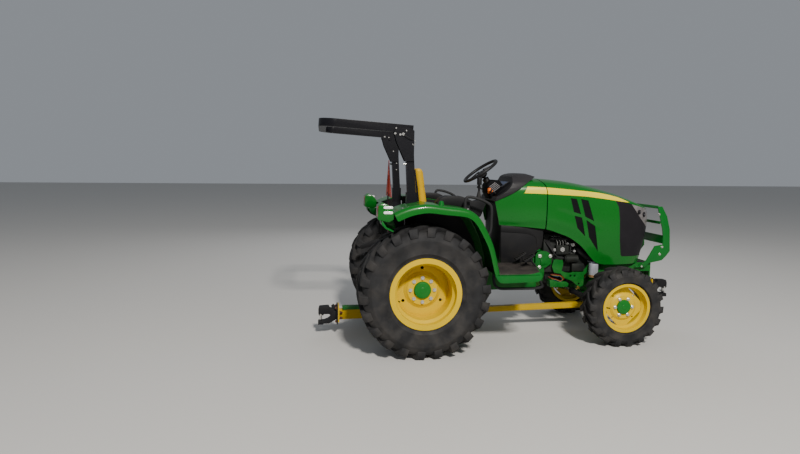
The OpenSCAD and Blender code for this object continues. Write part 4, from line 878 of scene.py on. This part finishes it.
def beveled(piece, width):
    """Rounds a piece's edges by so many millimetres."""
    softer = piece.modifiers.new("rounded", "BEVEL")
    softer.width = width / 1000
    softer.segments = 3
    softer.limit_method = "ANGLE"
    softer.angle_limit = math.radians(30)
    return settle(piece)


dash_grey = surface("dash_grey", (0.020, 0.019, 0.021), rough=0.5, tone=0.15, grain=0.3, grain_scale=520)
# Painted shade: the panel under the visor and the column's cover are black plastic painted near black, darker than
# the rim, for the shade that they lie in.
dash_shaded_black = surface("dash_shaded_black", (0.003, 0.003, 0.004), rough=0.7, tone=0.15, grain=0.2, shine=0.08)
rim = arched(RIM, "dash_rim")
finish_piece(beveled(rim, 7), dash_grey, "chassis", 32, ("dash_shroud",))
core = arched(CORE, "dash_panel", 0.80)
finish_piece(beveled(core, 5), dash_shaded_black, "chassis", 32, ("dash_shroud",))
display_glass = surface("display_glass", (0.045, 0.060, 0.105), rough=0.35, tone=0.25, tone_scale=10, grain=0.0)
shape = bmesh.new()
slab(shape, [(796, 1331), (902, 1402), (905, 1398), (799, 1327)], -105, 105, 1.5)
piece_from(shape, "dash_display", display_glass, "chassis", 30)
shape = bmesh.new()
for y in (-118, 108):
    slab(shape, [(788, 1329), (908, 1409), (913, 1402), (793, 1322)], y, y + 10, 2)
slab(shape, [(786, 1328), (793, 1333), (799, 1324), (792, 1319)], -118, 118, 2)
piece_from(shape, "display_frame", dull_black, "chassis", 30)

# The column's cover has eight pale louvres that rise to the front.
shape = bmesh.new()
COVER = [(706, 1212), (670, 1270), (668, 1340), (704, 1388), (780, 1384), (838, 1320), (836, 1280), (800, 1222)]
slab(shape, COVER, -86, 86, 12, 3)
# The cover's near black is partly painted shade.
piece_from(shape, "column_cover", dash_shaded_black, "chassis", 32)
shape = bmesh.new()
FIN = Vector((-2.6, 3.4))
for k in range(8):
    low = Vector((692 + 9.5 * k, 1322 - 10.5 * k))
    high = low + Vector((52 + 3 * min(k, 3), 40 + 2.5 * min(k, 3)))
    slab(shape, [low, high, high + FIN, low + FIN], -89, 89, 0.8, 1)
fin_grey = surface("fin_grey", (0.26, 0.25, 0.26), rough=0.45, tone=0.1, grain=0.1)
piece_from(shape, "column_louvres", fin_grey, "chassis", 30)
switch_orange = surface("switch_orange", (0.78, 0.16, 0.012), rough=0.4, tone=0.06, grain=0.05)
shape = bmesh.new()
box(shape, (672, -107, 1266), (702, -85, 1314), 7, 3)
piece_from(shape, "hazard_switch", switch_orange, "chassis", 30)


# Steering wheel and column.
# A soft black rim on three moulded spokes, on a column that leans back to the
# seat. A rubber boot closes the top of the column.
rim_black = surface("rim_black", (0.013, 0.013, 0.014), rough=0.42, tone=0.10, tone_scale=12, grain=0.35,
                    grain_scale=640)
rubber_black = surface("rubber_black", (0.020, 0.019, 0.019), rough=0.66, tone=0.18, tone_scale=10, grain=0.25,
                       grain_scale=380, dust=0.12, dust_top=1.2)
COLUMN = Vector((-0.566406, 0, 0.824126))  # the way that the column points
WHEEL_RADIUS, RIM_RADIUS, RIM_SIDES = 0.164, 0.0138, 14
wheel_middle = at(628, 0, 1463)
dress(["steering_column"], panel_black, 30, 4)


def aimed(shape, axis, place):
    """Turns what was made about the Y axis to another axis, and sets it in place."""
    turn = Vector((0, 1, 0)).rotation_difference(Vector(axis)).to_matrix().to_4x4()
    bmesh.ops.transform(shape, matrix=Matrix.Translation(place) @ turn, verts=shape.verts)
    bmesh.ops.recalc_face_normals(shape, faces=shape.faces)
    return shape


turns = [2 * math.pi * k / RIM_SIDES for k in range(RIM_SIDES)]
shape = lathe([(WHEEL_RADIUS + RIM_RADIUS * math.cos(t), RIM_RADIUS * math.sin(t)) for t in turns], 72)
piece_from(aimed(shape, COLUMN, wheel_middle), "wheel_rim", rim_black, "hand_wheel", 30,
           ("steering_wheel",))
HUB = [(0, -0.004), (0.018, -0.0045), (0.034, -0.008), (0.041, -0.016), (0.044, -0.030), (0.040, -0.052),
       (0.026, -0.064), (0.013, -0.070), (0.011, -0.134), (0, -0.134)]
shape = lathe(HUB, 40)
for k in range(3):
    spoke = (Matrix.Rotation(math.radians(90 + 120 * k), 4, "Y") @ Matrix.Translation((0.093, -0.017, 0))
             @ Matrix.Rotation(-0.20, 4, "Z") @ Matrix.Diagonal((0.132, 0.011, 0.026, 1)))
    arm = bmesh.ops.create_cube(shape, size=1, matrix=spoke)
    round_off(shape, arm["verts"], 4, 2)
piece_from(aimed(shape, COLUMN, wheel_middle), "wheel_hub_and_spokes", rim_black, "hand_wheel", 32,
           ("steering_wheel",))
boot = [(0.030, -0.205)]
for k in range(7):
    boot += [(0.040 - 0.0022 * k, -0.190 + 0.014 * k), (0.033 - 0.0022 * k, -0.183 + 0.014 * k)]
shape = lathe([*boot, (0.0125, -0.094), (0.0125, -0.205)], 36)
piece_from(aimed(shape, COLUMN, wheel_middle), "column_boot", rubber_black, "chassis", 30)


# Pedals and levers.
# The stalks and pedal arms are black, the pedals have ribbed rubber pads, and
# the range lever ends in an orange knob.
dress(["pedals_and_levers"], dull_black, 32, 1.5)
shape = bmesh.new()
for x, y in ((905, -360), (940, -470), (900, 340)):
    lean = Matrix.Translation(at(x, y, 744)) @ Matrix.Rotation(math.radians(-35), 4, "Y")
    for k in range(6):
        stand = lean @ Matrix.Translation((-0.052 + 0.018 * k, 0, 0.0102))
        rib = bmesh.ops.create_cube(shape, size=1, matrix=stand @ Matrix.Diagonal((0.009, 0.056, 0.005, 1)))
        round_off(shape, rib["verts"], 1, 1)
piece_from(shape, "pedal_pads", rubber_black, "chassis", 30)
shape = bmesh.new()
rod(shape, (700, -150, 1285), (663, -150, 1304), 13, 19, 28)
round_off(shape, shape.verts, 5, 3)
piece_from(shape, "range_knob", switch_orange, "chassis", 32)


# Footboards.
# Pressed green boards hang between fender and side panel, each with a ribbed
# dark mat on top, a deep rounded skirt outside and a bent black pipe below it.
paint_green = surface("paint_green", (0.003, 0.106, 0.012), rough=0.34, tone=0.06, tone_scale=4, grain=0.04,
                      grain_scale=140, coat=0.1, dust=0.05, dust_top=0.9)
mat_grey = surface("mat_grey", (0.040, 0.034, 0.032), rough=0.75, tone=0.2, tone_scale=10, grain=0.3, grain_scale=300,
                   dust=0.25, dust_top=1.2)
BOARD = [(560, 240), (1085, 240), (938, 766), (912, 790), (560, 790)]
MAT = [(580, 252), (1062, 252), (926, 746), (904, 772), (580, 772)]
PIPE = [(564, 690, 657), (566, 692, 600), (574, 701, 566), (600, 705, 543), (640, 706, 536), (760, 706, 535),
        (890, 706, 535), (950, 690, 537), (988, 650, 541), (1002, 580, 556), (1001, 530, 600), (1000, 520, 657)]
SKIRT = [(546, 662), (558, 638), (581, 608), (617, 597), (747, 600), (886, 606), (915, 617), (930, 645), (922, 670),
         (909, 680), (880, 676), (847, 668), (760, 663), (574, 662)]
shape = bmesh.new()
pushed(shape, [at(x, y, 656) for x, y in BOARD], (0, 0, 0.006), 1.5)
slab(shape, eased([*SKIRT, SKIRT[0]], 3)[:-1], 782, 790, 2.5)
piece_from(both(shape), "boards_and_skirts", paint_green, "chassis", 32, ("footboards",))
shape = bmesh.new()
pushed(shape, [at(x, y, 662.2) for x, y in MAT], (0, 0, 0.0045), 1.5)
for k in range(25):
    x = 590 + 18.4 * k
    box(shape, (x, 262, 666), (x + 8, min(762, 738 + (926 - x) * 494 / 136), 670), 1.2, 1)
piece_from(both(shape), "board_mats", mat_grey, "chassis", 30)
shape = bmesh.new()
hose(shape, PIPE, 11)
for x in (620, 860):
    box(shape, (x, 150.3, 618), (x + 40, 782, 656), 3)
piece_from(both(shape), "board_guard_pipes", dull_black, "chassis", 32, ("footboards",))


# Fenders.
# Deep drawn green arches over the rear tyres, with a broad rounded lip outside,
# a flat wall inside, and a notch for the roll-over frame's leg.
TYRE_TOP, TYRE_FRONT = 1044, 522
OVER_TYRE = ((-253, 107), (-180, 138), (-90, 163), (20, 173), (159, 155), (300, 138), (370, 111))
AHEAD_OF_TYRE = ((-92, 1100.1), (-36, 1003.2), (17, 888.3), (50, 760.4), (72, 662.3))
CREST = eased([(x, TYRE_TOP + h) for x, h in OVER_TYRE] + [(TYRE_FRONT + x, z) for x, z in AHEAD_OF_TYRE], 3)
LIP_FROM, LIP_SHRINK, FENDER_LOW = 760, 0.605, 662.4
# place across the tractor; how far it lies inside the crest
FENDER_ROW = ((395, 70), (395, 14), (399, 3), (412, 0), (600, 0), (742, 0), (768, 5), (784, 19), (789.5, 44),
              (789.5, 76))


def inward(line, i):
    """The direction square to a line, to its right as it runs forward."""
    a, b = line[max(i - 1, 0)], line[min(i + 1, len(line) - 1)]
    step = Vector((b[0] - a[0], b[1] - a[1])).normalized()
    return step.y, -step.x


def fender_station(i, x, z):
    """One row of the fender's cage, from the inner wall over the crest to the lip."""
    nx, nz = inward(CREST, i)
    lip = mixed(1, LIP_SHRINK, i / (len(CREST) - 1))
    depths = [(y, d * (lip if y > LIP_FROM else 1)) for y, d in FENDER_ROW]
    return [(x + nx * d, y, max(z + nz * d, FENDER_LOW)) for y, d in depths]


def mirrored(piece, name):
    """A copy on the tractor's other side."""
    shape = bmesh.new()
    shape.from_mesh(piece.data)
    bmesh.ops.scale(shape, vec=(1, -1, 1), verts=shape.verts)
    bmesh.ops.reverse_faces(shape, faces=shape.faces)
    return loose_piece(shape, name)


NOTCH = [(-121, 990), (-29, 990), (-29, 1300), (-121, 1300)]


def notched_pair(piece, stem, material):
    """Cuts the notch for the frame's leg, and finishes the piece and its mirror image."""
    cut(piece, [NOTCH], "DIFFERENCE", 384, 512)
    for half in (mirrored(piece, f"{stem}_right"), piece):
        finish_piece(half, material, "chassis", 32, ("fenders",))


fender = skin([fender_station(i, x, z) for i, (x, z) in enumerate(CREST)], "fender_left", 0.006, levels=2)
notched_pair(fender, "fender", body_green)
shape = bmesh.new()
slab(shape, [(x + inward(CREST, i)[0] * 6, z + inward(CREST, i)[1] * 6) for i, (x, z) in enumerate(CREST[:-1])]
     + [(587, 663), (330, 663), (300, 860), (-246, 860)], 394.5, 401)
notched_pair(loose_piece(shape, "fender_wall_left"), "fender_wall", panel_black)
TAIL_WEB = [(-345, 1084), (-252, 1088), (-236, 1074), (-216, 1016), (-254, 1001), (-311, 1026), (-341, 1056)]
TAIL_SKIN = [(-345, 1084), (-335, 1086), (-303, 1037), (-250, 1011), (-254, 1001), (-311, 1026), (-341, 1056)]
shape = bmesh.new()
slab(shape, TAIL_WEB, 604, 612, 2.5)
slab(shape, TAIL_SKIN, 604, 764, 2.5)
piece_from(both(shape), "fender_tails", paint_green, "chassis", 32)
shape = bmesh.new()
rod(shape, (126, -700, 1199), (126, -700, 1226), 24, 19, 32)
rod(shape, (126, -700, 1226), (126, -700, 1236), 19, 12, 32)
piece_from(shape, "fender_cap", paint_green, "chassis", 32)
shape = bmesh.new()
for x in (-170, 330):
    place = min(CREST, key=lambda p: abs(p[0] - x))
    hex_bolt(shape, at(place[0], 735, place[1] - 1), (0, 0, 1), 0.017, 0.006, 0.002)
piece_from(both(shape), "fender_bolts", plated, "chassis", 30)


# Fender lamps.
# A green moulded pod stands off each fender's rear edge, with a red lens behind.
# Two near-white bars on its outer face are painted highlights, glints on its clear lens.
pod_glass = surface("red_lens", (0.30, 0.010, 0.008), rough=0.16, tone=0.15, tone_scale=30, grain=0.1,
                    grain_scale=160, coat=0.7)
dress(["fender_lamps"], body_green, 34, 3)
# Painted highlights: two near-white bars stand for the sun's glints on the pod's clear lens.
highlight_bar_white = surface("painted_highlight_bars", (0.80, 0.80, 0.80), rough=0.22, tone=0.10, tone_scale=40, grain=0.1, coat=0.6)
HIGHLIGHT_BAR = eased(((-330, 0), (-325, 9), (-300, 10), (-265, 9), (-259, 0), (-265, -9), (-300, -10), (-325, -9), (-330, 0)),
            3)[:-1]
shape = bmesh.new()
for height in (1151, 1190):
    slab(shape, [(x, height + z) for x, z in HIGHLIGHT_BAR], 765, 774, 2)
piece_from(both(shape), "pod_highlight_bars", highlight_bar_white, "chassis", 32)
shape = bmesh.new()
across(shape, [(628, 1116), (742, 1116), (742, 1196), (628, 1196)], -371.5, -366, 2)
piece_from(both(shape), "pod_rear_lenses", pod_glass, "chassis", 32)


# Consoles and grab rails.
# Black moulded consoles sit inside both fenders, with a joystick on the right
# one. Bent black tube makes a hand rail over each fender's front.
dress(["consoles"], panel_black, 32, 7)
RAIL = ((338, 1172), (341, 1236), (366, 1262), (452, 1246), (534, 1208), (556, 1165), (556, 1075), (553, 1000),
        (536, 955), (514, 946))
shape = bmesh.new()
hose(shape, [(x, 610, z) for x, z in RAIL], 12, 4)
for x, z in ((339, 1176), (512, 948)):
    rod(shape, (x, 610, z - 6), (x, 610, z + 4), 21, 19, 28)
piece_from(both(shape), "grab_rail_tubes", dull_black, "chassis", 32, ("grab_rails",))
shape = bmesh.new()
for k in range(5):
    x, z = 490.5 + k * 0.3, 1246 + 14 * k
    rod(shape, (x, -455, z), (x + 0.3, -455, z + 14), 22 - 3.2 * k, 19 - 3.2 * k)
rod(shape, (494, -455, 1358), (496, -455, 1412.9), 15, 19.5, 28)
piece_from(shape, "joystick_boot_and_grip", rubber_black, "chassis", 30)


# Seat.
# A sprung seat with a cushion and a back of yellow vinyl over foam, sewn into
# channels, each in a black moulded shell on a folded steel base.
vinyl_yellow = surface("vinyl_yellow", (0.53, 0.31, 0.0008), rough=0.48, tone=0.06, tone_scale=9, grain=0.25,
                       grain_scale=700)
dress(["seat_base"], panel_black, 32, 4)


PAD_GRID, PAD_PRESSURE, PAD_SWELL, PAD_FRAMES = 0.006, 4, 0.009, 20
SEAM_DEPTH, SEAM_HALF_WIDTH = 0.010, 6.5


def swollen(piece):
    """Blows a cover up as foam does under vinyl, and keeps the shape that it takes."""
    even = piece.modifiers.new("even mesh", "REMESH")
    even.mode = "VOXEL"
    even.voxel_size = PAD_GRID
    settle(piece)
    start = [v.co.copy() for v in piece.data.vertices]
    cover = piece.modifiers.new("cover", "CLOTH")
    cover.settings.use_pressure = True
    cover.settings.uniform_pressure_force = PAD_PRESSURE
    cover.settings.effector_weights.gravity = 0
    cover.settings.quality = 5
    cover.point_cache.frame_start = 1
    cover.point_cache.frame_end = PAD_FRAMES
    for step in range(1, PAD_FRAMES + 1):
        bpy.context.scene.frame_set(step)
    settle(piece)
    bpy.context.scene.frame_set(1)
    for vert, place in zip(piece.data.vertices, start):
        move = vert.co - place
        if move.length > PAD_SWELL:
            vert.co = place + move.normalized() * PAD_SWELL
    return piece


def pad_piece(name, low, high, corner, lean, foot, node, channels, sides):
    """One foam pad: a rounded block blown up, drawn in at its seams, then leaned back about its foot."""
    shape = bmesh.new()
    box(shape, low, high, corner, 5)
    piece = swollen(loose_piece(shape, name))
    graph = bmesh.new()
    graph.from_mesh(piece.data)
    graph.normal_update()
    upright = lean != 0
    for vert in graph.verts:
        p = vert.co
        run = p.z * 1000 if upright else p.x * 1000 + REAR_AXLE
        front = vert.normal.x if upright else vert.normal.z
        out = abs(p.y) * 1000
        pull = sum(math.exp(-((run - c) / SEAM_HALF_WIDTH) ** 2) for c in channels if out < sides)
        pull += math.exp(-((out - sides) / SEAM_HALF_WIDTH) ** 2)
        vert.co -= vert.normal * SEAM_DEPTH * min(pull, 1) * max(front, 0)
    if upright:
        for vert in graph.verts:
            vert.co.x -= lean * (vert.co.z - foot / 1000)
    graph.to_mesh(piece.data)
    graph.free()
    finer = piece.modifiers.new("finer", "SUBSURF")
    finer.levels = finer.render_levels = 1
    settle(piece)
    finish_piece(piece, vinyl_yellow, "chassis", 60, (node,))


# two corners; the corners' rounding; the lean and the height of its foot; the sewn channels; the side seams
pad_piece("seat_cushion_cover", (78, -218, 1040), (508, 218, 1108), 26, 0, 0, "seat_cushion",
          (150, 225, 300, 375, 448), 150)
pad_piece("seat_back_cover", (46, -220, 1140), (104, 220, 1490), 26, 0.134, 1132, "seat_back",
          (1200, 1265, 1330, 1395, 1450), 148)
shape = bmesh.new()
box(shape, (66, -205, 1028.3), (515, 205, 1046), 7, 2)
slab(shape, [(36, 1130), (52, 1130), (8, 1470), (-6, 1470)], -200, 200, 6, 2)
for side in (-1, 1):
    slab(shape, [(30, 1046), (110, 1046), (84, 1130), (52, 1136), (36, 1136)], side * 196 - 5, side * 196 + 5, 2)
piece_from(shape, "seat_shells", panel_black, "chassis", 32)


# Roll-over frame.
# Two square steel posts in satin black, and a hoop folded back on its hinge bolts
# between thick side plates. Zinc bolts and locking pins show on the plates.
rops_black = surface("rops_black", (0.006, 0.006, 0.008), rough=0.36, tone=0.10, tone_scale=6, grain=0.06,
                     grain_scale=200)
dress(["rops_legs"], rops_black, 32)
dress(["rops_hoop"], rops_black, 32, 4)
# place along the tractor; height; width over the flats
OUTER_BOLTS = ((-214, 1757, 19), (-173, 1749, 19), (-207, 1799, 13), (-125, 1780, 13))
INNER_BOLTS = ((-197, 1775, 17), (-157, 1769, 12), (-96, 1790, 17), (-112, 1640, 12))
CLIP = ((-62, 503, 1700), (-58, 509, 1706), (-52, 511, 1690), (-60, 510, 1668), (-72, 508, 1672), (-74, 503, 1690))
LANYARD = ((-150, 519, 1752), (-128, 526, 1738), (-92, 522, 1716), (-64, 504, 1704))
shape = bmesh.new()
for side in (-1, 1):
    for x, z, width in OUTER_BOLTS:
        hex_bolt(shape, at(x, side * 508.6, z), (0, side, 0), width / 1000, 0.007)
    for x, z, width in INNER_BOLTS:
        hex_bolt(shape, at(x, side * 423.4, z), (0, -side, 0), width / 1000, 0.007)
    for z in (1527, 1465):
        hex_bolt(shape, at(-80, side * 434.4, z), (0, -side, 0), 0.012, 0.006)
    rod(shape, (-150, side * 516, 1752), (-150, side * 521, 1752), 11, sides=32)
    rod(shape, (-141, side * 480, 1518), (-104, side * 480, 1518), 8)
    hose(shape, [(x, side * y, z) for x, y, z in CLIP], 3.2, 5, 2)
piece_from(shape, "frame_bolts", plated, "chassis", 32)
shape = bmesh.new()
for side in (-1, 1):
    hose(shape, [(x, side * y, z) for x, y, z in LANYARD], 2.6, 6, 2)
piece_from(shape, "pin_lanyards", dull_black, "chassis", 32)


# Warning triangle.
# A slow-vehicle plate of red-orange sheet with a darker border, on a flat bar
# that stands on the rear deck.
orange_sheet = surface("orange_sheet", (0.62, 0.060, 0.008), rough=0.42, tone=0.08, tone_scale=8, grain=0.06,
                       grain_scale=240)
red_border = surface("red_border", (0.30, 0.012, 0.008), rough=0.36, tone=0.08, tone_scale=8, grain=0.1,
                     grain_scale=320)
dress(["warning_triangle"], red_border, 30, 0.8)
shape = bmesh.new()
across(shape, [(-150, 1262), (150, 1262), (0, 1502)], -207.2, -205.8, 0.4, 1)
piece_from(shape, "triangle_middle", orange_sheet, "chassis", 30)
shape = bmesh.new()
box(shape, (-214.5, -15, 870.2), (-206.5, 15, 1240), 1.5)
for z in (1262, 1380):
    hex_bolt(shape, at(-207.2, 0, z), (-1, 0, 0), 0.014, 0.006, 0.002)
piece_from(shape, "triangle_bar", dull_black, "chassis", 30)


# Brush guard.
# Two green steel plates with three bars welded between them, pinned to the frame
# at their feet and held up by bolts.
dress(["brush_guard"], paint_green, 30, 2)
shape = bmesh.new()
for x, z in ((2253, 1086), (2280, 719), (2299, 786)):
    for side in (-1, 1):
        hex_bolt(shape, at(x, side * 215, z), (0, side, 0), 0.016, 0.008, 0.002)
for side in (-1, 1):
    hex_bolt(shape, at(2105, side * 220, 610), (0, side, 0), 0.020, 0.004)
piece_from(shape, "guard_bolts", plated, "guard", 32)


# Towing gear.
# A square steel tube in gloss yellow runs under the tractor. Each end has a plate
# with a black cast pintle hook on four bolts, and the drawbar lies over the rear.
tube_yellow = surface("tube_yellow", (0.48, 0.31, 0.0006), rough=0.36, tone=0.06, tone_scale=7, grain=0.05,
                      grain_scale=160, dust=0.10, dust_top=0.6)
cast_black = surface("cast_black", (0.010, 0.010, 0.011), rough=0.50, tone=0.2, tone_scale=16, grain=0.4,
                     grain_scale=180)
rust_brown = surface("rust_brown", (0.10, 0.035, 0.015), rough=0.75, tone=0.25, tone_scale=30, grain=0.3,
                     metallic=0.3)
dress(["tow_bar"], tube_yellow, 30, 3)
dress(["front_hitch", "rear_hitch"], cast_black, 40, 5)
dress(["lift_linkage"], cast_black, 30, 4)
shape = bmesh.new()
pins = bmesh.new()
# the hook plate's face; the way that it looks; the tube's height; how far the pin stands off
for plate, way, z, reach in ((-653.3, -1, 184, 151), (2317.3, 1, 369, 150.698)):
    for y in (-48, 48):
        for up in (-60, 60):
            hex_bolt(shape, at(plate + way * 12, y, z + up), (way, 0, 0), 0.021, 0.011, 0.002)
        for up in (20, -29):
            back = plate - way * 12.6
            hex_bolt(shape, at(back, y, z + up), (-way, 0, 0), 0.023, 0.016, 0.003)
            rod(shape, (back - way * 14, y, z + up), (back - way * 30, y, z + up), 6)
    eye = plate + way * reach
    rod(pins, (eye, 0, z - 66), (eye, 0, z - 58), 12.5, sides=32)
    rod(pins, (eye, 0, z - 50), (eye, 0, z - 8), 10.6, sides=32)
    rod(pins, (eye, 0, z + 44), (eye, 0, z + 49), 7)
for x, z in ((-805, 181), (2466, 368), (2467, 326)):
    rod(pins, (x, -37, z), (x, 37, z), 8.5)
piece_from(shape, "hitch_bolts", rust_brown, "chassis", 30)
piece_from(pins, "hitch_pins", plated, "chassis", 32)
shape = bmesh.new()
for x in (-110, 170):
    for side in (-1, 1):
        hex_bolt(shape, at(x, side * 33, 330), (0, side, 0), 0.020, 0.009, 0.002)
piece_from(shape, "tube_bracket_bolts", plated, "chassis", 30)
shape = bmesh.new()
for side in (-1, 1):
    rod(shape, (-640, side * 25, 184.2), (-122, side * 25, 196.4), 2.2, sides=12)
piece_from(shape, "tube_weld_beads", tube_yellow, "chassis", 40)


# Bell housing bolts.
# Three zinc bolts with wide washers hold the clutch housing to the engine on each
# side, just behind the engine's plate.
shape = bmesh.new()
for x, z in ((1143, 712), (1240, 711), (1140, 612)):
    for side in (-1, 1):
        hex_bolt(shape, at(x, side * 190, z), (0, side, 0), 0.024, 0.012, 0.003)
piece_from(shape, "bell_bolts", plated, "chassis", 30)
